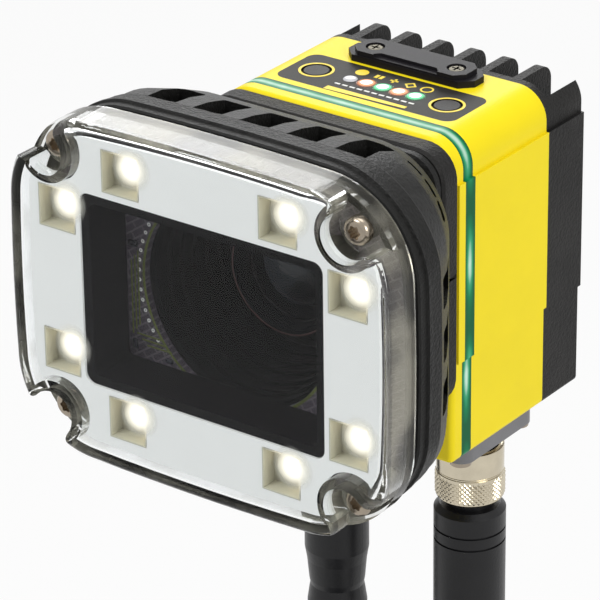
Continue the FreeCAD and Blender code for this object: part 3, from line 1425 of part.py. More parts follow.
def tube(name, route, diameter):
    """Cable along hand-set points, its corners rounded as widely as the runs allow."""
    spots = [Vector(*p) for p in route]
    edges, start, length = [], spots[0], 0.0
    for before, corner, after in zip(spots, spots[1:], spots[2:]):
        come, go = corner - before, after - corner
        half = come.getAngle(go) / 2
        setback = BEND_SHARE * min(come.Length, go.Length)
        radius = setback / math.tan(half)
        print(f"{name}: radius {radius:.1f} mm at {tuple(round(v, 1) for v in corner)}")
        come.normalize()
        go.normalize()
        a, b = corner - come * setback, corner + go * setback
        inward = (go - come).normalize()
        middle = corner + inward * (radius / math.cos(half) - radius)
        edges.append(Part.LineSegment(start, a).toShape())
        edges.append(Part.Arc(a, middle, b).toShape())
        length += (a - start).Length + 2 * half * radius
        start = b
    edges.append(Part.LineSegment(start, spots[-1]).toShape())
    length += (spots[-1] - start).Length
    path = Part.Wire(edges)
    first = (spots[1] - spots[0]).normalize()
    section = Part.Wire(Part.Circle(spots[0], first, diameter / 2).toShape())
    shape = path.makePipeShell([section], True, False)
    expected = math.pi * diameter ** 2 / 4 * length
    assert abs(shape.Volume - expected) < 0.01 * expected, f"{name}: volume is off"
    print(f"{name}: {length:.1f} mm, volume {shape.Volume:.0f} of {expected:.0f} mm3")
    piece = DOC.addObject("Part::Feature", name)
    piece.Shape = shape
    piece.Placement = FreeCAD.Placement()
    return named(piece, name)


def coil(name, x):
    """Neat coil of the cable that is put away, hanging on edge below its plug."""
    ring = DOC.addObject("Part::Torus", name)
    bind(ring, "Radius1", "coil_radius")
    bind(ring, "Radius2", "coil_bundle")
    place(ring, "right", x, "-plug_depth - coil_radius", "-coil_drop")
    return named(ring, name)


def coil_ties(name, bundle, x):
    """Two ties round the bundle of turns, at the top and the bottom of the coil."""
    bands = []
    for side in ("", "-"):
        band = DOC.addObject("Part::Cylinder", "band")
        bind(band, "Radius", "coil_bundle + tie_thick")
        bind(band, "Height", "tie_wide")
        place(band, "front", x, "-plug_depth - coil_radius + tie_wide / 2",
              f"-coil_drop + {side}coil_radius")
        bands.append(less(band, bundle))
    return named(together(bands), name)


def jack():
    """Far plug of the network cable: boot, body and latch tongue."""
    top = "-coil_drop - tail_long"
    x, y = "-plug_spacing / 2", "-plug_depth"
    boot = DOC.addObject("Part::Cone", "boot")
    bind(boot, "Radius1", "relief_end / 2 + boot_flare")
    bind(boot, "Radius2", "relief_end / 2")
    bind(boot, "Height", "boot_long")
    place(boot, "up", x, y, f"{top} - boot_long")
    shell_top = f"{top} - boot_long"
    shell = slab("jack_wide", "jack_thick", "small_round", f"{shell_top} - jack_long", shell_top,
                 x=x, y=y)
    tongue = slab("latch_wide", "latch_thick", "small_round",
                  f"{shell_top} - jack_long + latch_tip", f"{shell_top} - latch_root", x=x,
                  y=f"{y} - (jack_thick + latch_thick) / 2 + latch_sink")
    return named(joined(boot, shell, tongue), "network_jack")


# ---------------------------------------------------------------- the whole camera

POWER_X, NETWORK_X = "plug_spacing / 2", "-plug_spacing / 2"

NODES = [heat_sink()]
PIPE = light_pipe()
NODES += [camera_cover(cover_sleeve(), PIPE), PIPE]
NODES += [control_panel(), status_lamps(), key_board()]
NODES += [button("left_button", "-button_spacing / 2"), button("right_button", "button_spacing / 2")]
NODES += [card_cover(), card_cover_screws(), card_socket()]
NODES += [front_plate(), lens_barrel()]
NODES += [lens("front_lens", "front_glass", "barrel_front - front_glass_sink",
               "front_glass_thick", "front_glass_crown")]
NODES += [lens("rear_lens", "rear_glass", "barrel_back + rear_glass_sink", "rear_glass_thick",
               "rear_glass_crown")]
NODES += sensor_pieces()
NODES += [light_adapter(), light_hood()]
NODES += [light_housing(), light_seal(), clear_cover(), cover_screws()]
NODES += [reflector(), light_board(), board_pads(), lamp_optics(), window_frame()]
NODES += [connector_plate(), plate_screws()]
NODES += [panel_connector("power_connector", POWER_X)]
NODES += [panel_connector("network_connector", NETWORK_X)]
NODES += [coupling_nut("power_nut", POWER_X), coupling_nut("network_nut", NETWORK_X)]
NODES += [power_plug(), network_plug()]
NODES += [sealing_ring("power_seal", POWER_X), sealing_ring("network_seal", NETWORK_X)]

CABLE = number("cable_round")
DEPTH = -number("plug_depth")
COIL = -number("coil_drop")
X = number(POWER_X)
# each cable leaves its plug straight down and runs into the side of its coil
POWER_ROUTE = [
    (X, DEPTH, number(POWER_END)),
    (X, DEPTH, number(POWER_END) - 14),
    (X + 0.5, DEPTH - 0.3, number(POWER_END) - 27),
    (X, DEPTH, COIL + 30.5),
]
NETWORK_ROUTE = [
    (-X, DEPTH, number(NETWORK_END)),
    (-X, DEPTH, number(NETWORK_END) - 11),
    (-X - 0.4, DEPTH - 0.3, number(NETWORK_END) - 22),
    (-X, DEPTH, COIL + 30.5),
]
POWER_TAIL = [
    (X, DEPTH, COIL - 30.5),
    (X, DEPTH + 0.4, COIL - 43),
    (X + 0.4, DEPTH, COIL - 56),
]
NETWORK_TAIL = [
    (-X, DEPTH + 0.1, COIL - 30.5),
    (-X, DEPTH, COIL - 35),
    (-X, DEPTH, COIL - number("tail_long")),
]
DOC.recompute()
NODES += [tube("power_cable", POWER_ROUTE, CABLE), tube("network_cable", NETWORK_ROUTE, CABLE)]
NODES += [tube("power_cable_end", POWER_TAIL, CABLE)]
NODES += [tube("network_cable_end", NETWORK_TAIL, CABLE)]
for WORD, PLACE in (("power", POWER_X), ("network", NETWORK_X)):
    BUNDLE = coil(f"{WORD}_coil", PLACE)
    NODES += [BUNDLE, coil_ties(f"{WORD}_coil_ties", BUNDLE, PLACE)]
NODES += [jack()]

DOC.recompute()
for item in DOC.Objects:
    assert not {"Invalid", "Error"} & set(item.State), f"{item.Name} ({item.Label}): {item.State}"
for node in NODES:
    assert not node.Shape.isNull() and node.Shape.isValid(), f"{node.Label}: bad shape"
    assert node.Shape.Solids, f"{node.Label}: no solid"

os.makedirs("parts", exist_ok=True)
for node in NODES:
    node.Shape.exportStep(f"parts/{node.Label}.step")
    box = node.Shape.BoundBox
    print(f"{node.Label}: {len(node.Shape.Solids)} solids, {node.Shape.Volume:.0f} mm3, "
          f"x {box.XMin:.1f} {box.XMax:.1f}, y {box.YMin:.1f} {box.YMax:.1f}, "
          f"z {box.ZMin:.1f} {box.ZMax:.1f}")
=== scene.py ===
"""Looks of the machine vision camera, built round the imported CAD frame.

+Z is up and the camera looks along -Y. Each class dresses one sub-assembly: it makes the pieces
that the CAD leaves plain, and every CAD node gets its finish. Sizes of pieces are in millimetres,
which the modelling helpers bring to metres. The viewpoint, the lamps, the finishes and the
cables' routes are in metres.
"""

from __future__ import annotations

import json
import logging
import math
from dataclasses import dataclass, field
from enum import Enum
from typing import Callable, Iterator, Sequence

import bpy
from mathutils import Matrix, Vector

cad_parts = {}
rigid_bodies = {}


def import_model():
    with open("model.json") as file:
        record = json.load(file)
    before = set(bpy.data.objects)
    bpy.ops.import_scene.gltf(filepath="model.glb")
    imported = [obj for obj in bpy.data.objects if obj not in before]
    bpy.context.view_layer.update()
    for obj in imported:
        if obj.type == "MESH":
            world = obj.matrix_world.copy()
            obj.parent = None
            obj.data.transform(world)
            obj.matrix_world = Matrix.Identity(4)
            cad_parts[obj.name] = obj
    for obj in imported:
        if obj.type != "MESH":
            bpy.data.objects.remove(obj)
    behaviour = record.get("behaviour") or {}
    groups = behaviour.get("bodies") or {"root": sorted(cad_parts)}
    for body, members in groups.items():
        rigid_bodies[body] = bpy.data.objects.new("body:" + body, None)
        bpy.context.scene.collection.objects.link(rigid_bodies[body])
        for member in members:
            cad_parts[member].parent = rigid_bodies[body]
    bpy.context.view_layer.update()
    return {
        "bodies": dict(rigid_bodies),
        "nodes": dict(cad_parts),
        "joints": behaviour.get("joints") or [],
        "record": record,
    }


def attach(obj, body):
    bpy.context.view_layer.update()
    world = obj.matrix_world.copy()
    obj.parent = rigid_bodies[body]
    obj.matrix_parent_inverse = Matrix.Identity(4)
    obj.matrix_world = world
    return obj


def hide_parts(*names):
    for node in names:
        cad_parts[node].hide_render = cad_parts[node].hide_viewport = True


LOG = logging.getLogger("vision_camera")
MM = 0.001
FULL_TURN = 2 * math.pi
BODY = "camera"
AXIS_HEIGHT = 6.8

Colour = tuple[float, float, float]
Point = tuple[float, float, float]
Socket = bpy.types.NodeSocket
Piece = bpy.types.Object


class Facing(Enum):
    """Way that a round or flat piece faces, as the turn that brings local +Z there."""

    UP = (0.0, 0.0, 0.0)
    DOWN = (math.pi, 0.0, 0.0)
    FRONT = (math.pi / 2, 0.0, 0.0)


class Part(Enum):
    """What is picked on a mesh: the name of its collection."""

    VERT = "vertices"
    EDGE = "edges"
    FACE = "polygons"


# ---------------------------------------------------------------- finishes


class Sheet:
    """Node tree of one material or world, with short calls to add and join its nodes."""

    def __init__(self, owner: bpy.types.Material | bpy.types.World) -> None:
        """Empty the tree but for its output.

        Args:
            owner: the material or world.
        """
        owner.use_nodes = True
        self.tree = owner.node_tree
        self.tree.nodes.clear()
        self.output = self.add("OutputWorld" if isinstance(owner, bpy.types.World) else "OutputMaterial")

    def add(self, kind: str, **settings: object) -> bpy.types.Node:
        """Add a node and set its plain properties.

        Args:
            kind: the node's type without its ShaderNode prefix.
            settings: attributes of the node.

        Returns:
            The new node.
        """
        node = self.tree.nodes.new("ShaderNode" + kind)
        for key, value in settings.items():
            setattr(node, key, value)
        return node

    def feed(self, node: bpy.types.Node, **sockets: object) -> bpy.types.Node:
        """Set or join a node's inputs.

        Args:
            node: the node.
            sockets: input names with underscores for spaces, as numbers, colours or sockets.

        Returns:
            The same node.
        """
        for key, value in sockets.items():
            socket = node.inputs[key.replace("_", " ")]
            if isinstance(value, Socket):
                self.tree.links.new(value, socket)
            elif socket.type == "RGBA":
                socket.default_value = (*value, 1.0)
            else:
                socket.default_value = value
        return node

    def place(self) -> Socket:
        """Object coordinates of the piece."""
        return self.add("TexCoord").outputs["Object"]

    def along(self, axis: str) -> Socket:
        """One Object coordinate of the piece: X, Y or Z."""
        return self.feed(self.add("SeparateXYZ"), Vector=self.place()).outputs[axis]

    def noise(self, scale: float, detail: float = 3.0, rough: float = 0.5) -> Socket:
        """Noise on the piece's own coordinates.

        Args:
            scale: cells to the metre.
            detail: octaves.
            rough: how strong the finer octaves are.

        Returns:
            The noise as a grey value.
        """
        return self.feed(self.add("TexNoise"), Scale=scale, Detail=detail, Roughness=rough,
                         Vector=self.place()).outputs["Fac"]

    def cells(self, scale: float) -> Socket:
        """Distance from the middles of small cells, so many to the metre."""
        return self.feed(self.add("TexVoronoi"), Scale=scale, Vector=self.place()).outputs["Distance"]

    def ramp(self, source: Socket, *stops: tuple[float, Colour]) -> Socket:
        """Colour ramp over a grey value.

        Args:
            source: the grey value.
            stops: place and colour of each stop.

        Returns:
            The colour.
        """
        node = self.feed(self.add("ValToRGB"), Fac=source)
        band = node.color_ramp
        while len(band.elements) < len(stops):
            band.elements.new(0.5)
        for element, (spot, colour) in zip(band.elements, stops):
            element.position = spot
            element.color = (*colour, 1.0)
        return node.outputs["Color"]

    def math(self, operation: str, *values: Socket | float) -> Socket:
        """Arithmetic on sockets or plain numbers.

        Args:
            operation: the Math node's operation.
            values: one to three sockets or numbers.

        Returns:
            The result.
        """
        node = self.add("Math", operation=operation)
        for socket, value in zip(node.inputs, values):
            if isinstance(value, Socket):
                self.tree.links.new(value, socket)
            else:
                socket.default_value = value
        return node.outputs[0]

    def bump(self, height: Socket, depth: float, strength: float = 1.0) -> Socket:
        """Bump from a grey value.

        Args:
            height: grey value.
            depth: metres from black to white.
            strength: share of the effect.

        Returns:
            The bent normal.
        """
        return self.feed(self.add("Bump"), Strength=strength, Distance=depth, Height=height).outputs["Normal"]

    def shader(self, kind: str, **sockets: object) -> Socket:
        """Add a shader.

        Args:
            kind: the node's type without its ShaderNode prefix.
            sockets: its inputs, as feed takes them.

        Returns:
            What it shows.
        """
        return self.feed(self.add(kind), **sockets).outputs[0]

    def mix(self, share: Socket, first: Socket, second: Socket) -> Socket:
        """Mix two shaders.

        Args:
            share: the second one's share.
            first: the first shader.
            second: the second shader.

        Returns:
            The mixed shader.
        """
        node = self.feed(self.add("MixShader"), Fac=share)
        self.tree.links.new(first, node.inputs[1])
        self.tree.links.new(second, node.inputs[2])
        return node.outputs[0]

    def seen(self) -> Socket:
        """One for a ray from the viewpoint, a mirror or clear glass, and else zero.

        Returns:
            That number.
        """
        path = self.add("LightPath").outputs
        either = self.math("MAXIMUM", path["Is Camera Ray"], path["Is Glossy Ray"])
        return self.math("MAXIMUM", either, path["Is Transmission Ray"])

    def show(self, shader: Socket) -> None:
        """Join a shader to the output."""
        self.feed(self.output, Surface=shader)

    def surface(self, **sockets: object) -> None:
        """Show a Principled shader with these inputs."""
        self.show(self.shader("BsdfPrincipled", **sockets))


def shade(colour: Colour, factor: float) -> Colour:
    """The colour made lighter or darker."""
    return tuple(min(1.0, channel * factor) for channel in colour)


@dataclass(frozen=True)
class Finish:
    """A finish, which lays out its nodes on an empty sheet."""

    name: str

    def build(self) -> bpy.types.Material:
        """Make the material.

        Returns:
            The finished material.
        """
        material = bpy.data.materials.new(self.name)
        self.paint(Sheet(material))
        return material

    def paint(self, sheet: Sheet) -> None:
        """Lay out the nodes.

        Args:
            sheet: the material's empty node tree.
        """
        raise NotImplementedError


@dataclass(frozen=True)
class Moulding(Finish):
    """Moulded plastic, cast metal or rubber: fine grain, slight mottle and a soft sheen."""

    colour: Colour
    roughness: float = 0.5
    grain: float = 2600.0
    grain_depth: float = 0.00006
    mottle: float = 0.18
    metallic: float = 0.0
    coat: float = 0.0
    specular: float = 0.5

    def paint(self, sheet: Sheet) -> None:
        """Lay out the nodes.

        Args:
            sheet: the material's empty node tree.
        """
        fine = sheet.noise(self.grain, 3.0, 0.6)
        sheet.surface(
            Base_Color=sheet.ramp(sheet.noise(90.0, 4.0), (0.3, shade(self.colour, 1 - self.mottle)),
                                  (0.7, shade(self.colour, 1 + self.mottle))),
            Roughness=sheet.math("MULTIPLY_ADD", fine, 0.16, self.roughness - 0.08),
            Metallic=self.metallic, Coat_Weight=self.coat, Coat_Roughness=0.2,
            Specular_IOR_Level=self.specular, Normal=sheet.bump(fine, self.grain_depth))


@dataclass(frozen=True)
class Plated(Finish):
    """Bright metal with fine turning marks and faint staining."""

    colour: Colour
    roughness: float = 0.2
    grain: float = 5200.0

    def paint(self, sheet: Sheet) -> None:
        """Lay out the nodes.

        Args:
            sheet: the material's empty node tree.
        """
        stain = sheet.noise(260.0, 4.0)
        sheet.surface(
            Base_Color=sheet.ramp(stain, (0.3, shade(self.colour, 0.9)), (0.7, shade(self.colour, 1.05))),
            Roughness=sheet.math("MULTIPLY_ADD", stain, 0.14, self.roughness - 0.07), Metallic=1.0,
            Normal=sheet.bump(sheet.noise(self.grain, 2.0), 0.00001))


@dataclass(frozen=True)
class Clear(Finish):
    """Clear moulding or lens glass, which lets light through to what it covers."""

    colour: Colour = (0.97, 0.985, 0.99)
    ior: float = 1.22
    mirror: float = 0.12
    painted_bleed: float = 0.0
    painted_bleed_depth: float = 95.0 * MM
    painted_bleed_colour: Colour = (0.62, 0.59, 0.48)

    def paint(self, sheet: Sheet) -> None:
        """Lay out the nodes.

        Args:
            sheet: the material's empty node tree.
        """
        glass = sheet.shader(
            "BsdfPrincipled", Base_Color=self.colour, Roughness=0.0, IOR=self.ior,
            Transmission_Weight=1.0, Specular_Tint=(self.mirror,) * 3,
            Normal=sheet.bump(sheet.noise(160.0, 2.0), 0.00004, 0.35))
        # Cream haze in patches on the side walls: painted lamp light that bleeds into the walls.
        if self.painted_bleed:
            dull = sheet.shader("BsdfPrincipled", Base_Color=self.painted_bleed_colour, Roughness=0.35,
                                Specular_IOR_Level=0.2)
            glass = sheet.mix(self.painted_bleed_share(sheet), glass, dull)
        path = sheet.add("LightPath").outputs
        soft = sheet.math("MAXIMUM", path["Is Shadow Ray"], path["Is Diffuse Ray"])
        sheet.show(sheet.mix(soft, glass, sheet.shader("BsdfTransparent", Color=self.colour)))

    def painted_bleed_share(self, sheet: Sheet) -> Socket:
        """Cream patches on the side walls of a moulding, and none on its face: painted lamp light that bleeds
        into the walls.

        Args:
            sheet: the material's node tree.

        Returns:
            The share of the haze.
        """
        inside = sheet.math("GREATER_THAN", sheet.along("Y"), -self.painted_bleed_depth)
        cloud = sheet.ramp(sheet.noise(70.0, 3.0), (0.42, (0.15,) * 3), (0.6, (1.0,) * 3))
        return sheet.math("MULTIPLY", sheet.math("MULTIPLY", inside, cloud), self.painted_bleed)


@dataclass(frozen=True)
class Lit(Finish):
    """Lens of a small lamp: brighter in the middle, tinted towards its rim."""

    core: Colour
    rim: Colour
    strength: float

    def paint(self, sheet: Sheet) -> None:
        """Lay out the nodes.

        Args:
            sheet: the material's empty node tree.
        """
        facing = sheet.feed(sheet.add("LayerWeight"), Blend=0.35).outputs["Facing"]
        mixed = sheet.math("MULTIPLY_ADD", sheet.noise(420.0, 2.0), 0.3, facing)
        sheet.surface(Base_Color=shade(self.rim, 0.5), Roughness=0.25, Coat_Weight=0.3,
                      Emission_Color=sheet.ramp(mixed, (0.15, self.core), (0.85, self.rim)),
                      Emission_Strength=self.strength)


@dataclass(frozen=True)
class LightPipe(Finish):
    """Lit strip: green light, with a painted highlight for its rounded profile: white core, darker green
    edges, brighter and dimmer along its length.
    """

    middle: float = -42.85 * MM
    half: float = 1.75 * MM
    wave: float = 26.4 * MM
    highlight_peak: float = 8.5 * MM

    def paint(self, sheet: Sheet) -> None:
        """Lay out the nodes.

        Args:
            sheet: the material's empty node tree.
        """
        # The white core across the width is a painted highlight and the darker edges are painted shade,
        # standing for the strip's rounded profile; the highlight also rises and falls along the strip.
        off = sheet.math("DIVIDE", sheet.math("SUBTRACT", sheet.along("Y"), self.middle), self.half)
        core = sheet.math("SUBTRACT", 1.0, sheet.math("POWER", sheet.math("ABSOLUTE", off), 1.6))
        turn = sheet.math("MULTIPLY", sheet.math("SUBTRACT", sheet.along("Z"), self.highlight_peak),
                          FULL_TURN / self.wave)
        highlight_along_length = sheet.math("MULTIPLY_ADD", sheet.math("COSINE", turn), 0.34, 0.46)
        uneven = sheet.math("MULTIPLY_ADD", sheet.noise(220.0, 2.0), 0.24, -0.12)
        level = sheet.math("ADD", sheet.math("MULTIPLY", core, highlight_along_length), uneven)
        colour = sheet.ramp(level, (0.10, (0.0, 0.09, 0.03)), (0.34, (0.002, 0.20, 0.075)),
                            (0.56, (0.05, 0.40, 0.20)), (0.80, (0.66, 0.92, 0.76)))
        sheet.surface(Base_Color=(0.004, 0.03, 0.014), Roughness=0.35, Specular_IOR_Level=0.08,
                      Emission_Color=colour, Emission_Strength=0.82)


@dataclass(frozen=True)
class Glow(Finish):
    """Light that fades from the middle of a piece to its rim, as its "glow" attribute says."""

    base: Colour
    hot: Colour
    warm: Colour
    strength: float
    veil: bool = False

    def paint(self, sheet: Sheet) -> None:
        """Lay out the nodes.

        Args:
            sheet: the material's empty node tree.
        """
        glow = sheet.add("Attribute", attribute_name="glow").outputs["Fac"]
        grain = sheet.math("MULTIPLY_ADD", sheet.noise(900.0, 2.0), 0.12, -0.06)
        sheet.surface(
            Base_Color=self.base, Roughness=0.35,
            Emission_Color=sheet.ramp(sheet.math("ADD", glow, grain), (0.15, self.warm), (0.85, self.hot)),
            Emission_Strength=sheet.math("MULTIPLY", sheet.math("POWER", glow, 1.6), self.strength),
            Alpha=sheet.math("POWER", glow, 0.8) if self.veil else 1.0)


@dataclass(frozen=True)
class Jacket(Finish):
    """Cable jacket and strain relief: smooth, slightly waxy, with faint handling marks."""

    colour: Colour

    def paint(self, sheet: Sheet) -> None:
        """Lay out the nodes.

        Args:
            sheet: the material's empty node tree.
        """
        marks = sheet.noise(700.0, 5.0, 0.65)
        sheet.surface(
            Base_Color=sheet.ramp(marks, (0.35, shade(self.colour, 0.8)), (0.7, shade(self.colour, 1.3))),
            Roughness=sheet.math("MULTIPLY_ADD", marks, 0.2, 0.34), Coat_Weight=0.15,
            Normal=sheet.bump(marks, 0.00003))


@dataclass(frozen=True)
class Woven(Finish):
    """Hook-and-loop strap."""

    colour: Colour

    def paint(self, sheet: Sheet) -> None:
        """Lay out the nodes.

        Args:
            sheet: the material's empty node tree.
        """
        weave = sheet.cells(1800.0)
        sheet.surface(
            Base_Color=sheet.ramp(weave, (0.1, shade(self.colour, 0.5)), (0.6, shade(self.colour, 1.6))),
            Roughness=0.9, Sheen_Weight=0.5, Normal=sheet.bump(weave, 0.0002))


@dataclass(frozen=True)
class Circuit(Finish):
    """Circuit board: solder mask with tracks and small plated holes."""

    mask: Colour
    track: Colour

    def paint(self, sheet: Sheet) -> None:
        """Lay out the nodes.

        Args:
            sheet: the material's empty node tree.
        """
        turn = sheet.feed(sheet.add("Mapping"), Rotation=(math.pi / 2, 0.0, 0.6), Vector=sheet.place())
        bricks = sheet.feed(sheet.add("TexBrick"), Scale=150.0, Mortar_Size=0.03, Mortar_Smooth=0.3,
                            Vector=turn.outputs["Vector"])
        dots = sheet.ramp(sheet.cells(420.0), (0.1, (1.0,) * 3), (0.14, (0.0,) * 3))
        tracks = sheet.math("MAXIMUM", bricks.outputs["Fac"], dots)
        sheet.surface(Base_Color=sheet.ramp(tracks, (0.2, self.mask), (0.8, self.track)), Roughness=0.35,
                      Coat_Weight=0.3, Normal=sheet.bump(tracks, 0.00003))


class Finishes:
    """Every finish of the camera, each built once and shared."""

    RECIPES = (
        Moulding("black_cast", (0.0125, 0.012, 0.0115), 0.45, 1500.0, 0.00030, 0.3, specular=0.13),
        Moulding("yellow_plastic", (0.86, 0.69, 0.010), 0.42, 3200.0, 0.00002, 0.02, specular=0.15),
        Moulding("black_plastic", (0.0085, 0.0085, 0.008), 0.4, 1400.0, 0.00030, 0.3, specular=0.15),
        Moulding("button_black", (0.022, 0.021, 0.020), 0.45, 3000.0, 0.00003, 0.1, specular=0.12),
        Moulding("panel_print", (0.021, 0.020, 0.017), 0.5, 3800.0, 0.00002, 0.1, specular=0.12),
        Moulding("card_grey", (0.010, 0.009, 0.011), 0.45, 3200.0, 0.00003, 0.1, specular=0.12),
        Moulding("black_rubber", (0.006, 0.006, 0.006), 0.8, 1800.0, 0.00004, 0.15, specular=0.08),
        Moulding("plug_black", (0.006, 0.006, 0.007), 0.36, 1500.0, 0.00004, 0.25, specular=0.3),
        Moulding("grey_plate", (0.17, 0.17, 0.18), 0.42, 2400.0, 0.00004, 0.12, metallic=0.4),
        Moulding("black_anodised", (0.003, 0.003, 0.004), 0.5, 3000.0, 0.00003, 0.2, specular=0.06),
        Moulding("black_gloss", (0.002, 0.0015, 0.002), 0.4, 3000.0, 0.00002, 0.2, specular=0.04),
        Moulding("white_sheet", (0.87, 0.865, 0.845), 0.4, 4000.0, 0.00001, 0.01, specular=0.3),
        Moulding("hood_black", (0.002, 0.002, 0.002), 0.6, 3000.0, 0.00003, 0.2, specular=0.03),
        Moulding("yellow_print", (0.88, 0.66, 0.03), 0.5, 4000.0, 0.00001, 0.05),
        Moulding("white_print", (0.80, 0.80, 0.77), 0.5, 4000.0, 0.00001, 0.03),
        Moulding("chip", (0.02, 0.02, 0.03), 0.2, 2000.0, 0.00001, 0.3, coat=0.4),
        Moulding("mask_rim", (0.10, 0.12, 0.02), 0.4, 2000.0, 0.00002, 0.2),
        Moulding("red_ring", (0.04, 0.004, 0.004), 0.4, 2000.0, 0.00001, 0.1),
        Moulding("jack_shell", (0.42, 0.44, 0.45), 0.25, 1500.0, 0.00001, 0.05, coat=0.3),
        Plated("nickel", (0.58, 0.52, 0.40), 0.2),
        Plated("steel_screw", (0.34, 0.29, 0.23), 0.25),
        Plated("dull_brass", (0.10, 0.088, 0.06), 0.42),
        Plated("steel_sheet", (0.45, 0.45, 0.45), 0.35),
        Plated("brass_post", (0.55, 0.43, 0.20), 0.3),
        Plated("gold_contact", (0.75, 0.56, 0.22), 0.22),
        Plated("tinned_core", (0.62, 0.62, 0.60), 0.3),
        # The cover's haze is painted lamp light that bleeds into its side walls.
        Clear("clear_plastic", ior=1.33, mirror=0.13, painted_bleed=0.2),
        Clear("lens_glass", (0.8, 0.85, 0.95), 1.5, 0.15),
        # Green light with a painted highlight across and along the strip.
        LightPipe("green_light"),
        # The unlit lamp's lens glows faintly grey: a painted sheen, since that lamp is not lit.
        Lit("lamp_lens", (0.60, 0.60, 0.62), (0.45, 0.45, 0.48), 0.6),
        Lit("orange_lens", (1.0, 0.98, 0.96), (1.0, 0.74, 0.60), 1.5),
        Lit("green_lens", (0.98, 1.0, 0.98), (0.66, 0.96, 0.80), 1.5),
        Glow("lamp_light", (0.50, 0.48, 0.38), (1.0, 0.98, 0.93), (1.0, 0.84, 0.55), 1.9),
        Glow("lamp_fringe", (0.8, 0.78, 0.7), (1.0, 0.97, 0.90), (1.0, 0.90, 0.70), 1.3, True),
        Glow("orange_glow", (0.3, 0.08, 0.02), (1.0, 0.40, 0.14), (0.8, 0.20, 0.04), 0.7, True),
        Glow("green_glow", (0.01, 0.2, 0.06), (0.10, 0.80, 0.36), (0.02, 0.5, 0.18), 0.8, True),
        Jacket("cable_black", (0.016, 0.016, 0.018)),
        Jacket("core_brown", (0.20, 0.09, 0.04)),
        Jacket("core_white", (0.75, 0.74, 0.70)),
        Jacket("core_blue", (0.03, 0.10, 0.42)),
        Jacket("core_grey", (0.25, 0.25, 0.26)),
        Woven("tie_fabric", (0.03, 0.03, 0.034)),
        Circuit("circuit_board", (0.012, 0.10, 0.04), (0.05, 0.24, 0.12)),
        Circuit("light_board", (0.060, 0.048, 0.062), (0.13, 0.11, 0.13)),
    )

    made: dict[str, bpy.types.Material] = {}

    @classmethod
    def build(cls) -> None:
        """Build every recipe."""
        cls.made.update((recipe.name, recipe.build()) for recipe in cls.RECIPES)


# ---------------------------------------------------------------- modelling helpers


def metres(point: Sequence[float]) -> tuple[float, ...]:
    """A place or size in millimetres, brought to metres."""
    return tuple(value * MM for value in point)


def deselect() -> None:
    """Leave nothing selected."""
    bpy.ops.object.select_all(action="DESELECT")


def take(piece: Piece) -> Piece:
    """Select one piece alone and make it active.

    Args:
        piece: the object.

    Returns:
        The same object.
    """
    deselect()
    piece.select_set(True)
    bpy.context.view_layer.objects.active = piece
    return piece


def settle(piece: Piece) -> Piece:
    """Put a piece's place, turn and scale into its mesh.

    Args:
        piece: the object.

    Returns:
        The same object, at the origin.
    """
    take(piece)
    bpy.ops.object.transform_apply(location=True, rotation=True, scale=True)
    return piece


def stood(piece: Piece, at: Point, facing: Facing = Facing.UP) -> Piece:
    """Turn and move a piece made round the origin.

    Args:
        piece: the object.
        at: where its origin goes.
        facing: the way that its +Z goes.

    Returns:
        The same object, with its origin at the origin again.
    """
    piece.rotation_euler = facing.value
    piece.location = metres(at)
    return settle(piece)


def modify(piece: Piece, kind: str, **settings: object) -> Piece:
    """Add a modifier and apply it.

    Args:
        piece: the object.
        kind: modifier type.
        settings: its attributes.

    Returns:
        The same object.
    """
    take(piece)
    modifier = piece.modifiers.new(kind.lower(), kind)
    for key, value in settings.items():
        setattr(modifier, key, value)
    bpy.ops.object.modifier_apply(modifier=modifier.name)
    return piece


def pick(piece: Piece, test: Callable[..., bool] = lambda item: True, kind: Part = Part.FACE) -> None:
    """Select the corners, edges or faces that pass a test, and open edit mode.

    Args:
        piece: the object.
        test: called with each corner, edge or face; without it all are selected.
        kind: what is picked.
    """
    take(piece)
    bpy.ops.object.mode_set(mode="EDIT")
    bpy.ops.mesh.select_mode(type=kind.name)
    bpy.ops.mesh.select_all(action="DESELECT")
    leave_edit()
    for item in getattr(piece.data, kind.value):
        item.select = test(item)
    bpy.ops.object.mode_set(mode="EDIT")


def extrude(*step: float) -> None:
    """Extrude what is picked by a step in metres."""
    bpy.ops.mesh.extrude_region_move(TRANSFORM_OT_translate={"value": step})


def leave_edit() -> None:
    """Go back to object mode."""
    bpy.ops.object.mode_set(mode="OBJECT")


def smooth(piece: Piece, degrees: float = 30.0) -> Piece:
    """Shade smooth except over sharp edges.

    Args:
        piece: the object.
        degrees: angle over which an edge stays sharp.

    Returns:
        The same object.
    """
    take(piece)
    bpy.ops.object.shade_smooth_by_angle(angle=math.radians(degrees))
    return piece


def dress(piece: Piece, finish: str) -> None:
    """Give a piece one finish."""
    piece.data.materials.clear()
    piece.data.materials.append(Finishes.made[finish])


def hand_over(piece: Piece, name: str, finish: str, body: str = BODY,
              replaces: Sequence[str] = ()) -> Piece:
    """Name and dress a finished piece, and let it ride on its body.

    Args:
        piece: the object.
        name: its name.
        finish: name of its finish.
        body: the CAD body that it rides on.
        replaces: CAD nodes that it stands for.

    Returns:
        The same object.
    """
    piece.name = name
    piece.data.name = name
    dress(piece, finish)
    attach(piece, body)
    if replaces:
        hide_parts(*replaces)
    LOG.info("%s rides on %s", name, body)
    return piece


def merged(pieces: Sequence[Piece]) -> Piece:
    """Join several objects into the first.

    Args:
        pieces: the objects.

    Returns:
        The joined object.
    """
    take(pieces[0])
    for piece in pieces:
        piece.select_set(True)
    bpy.ops.object.join()
    return pieces[0]


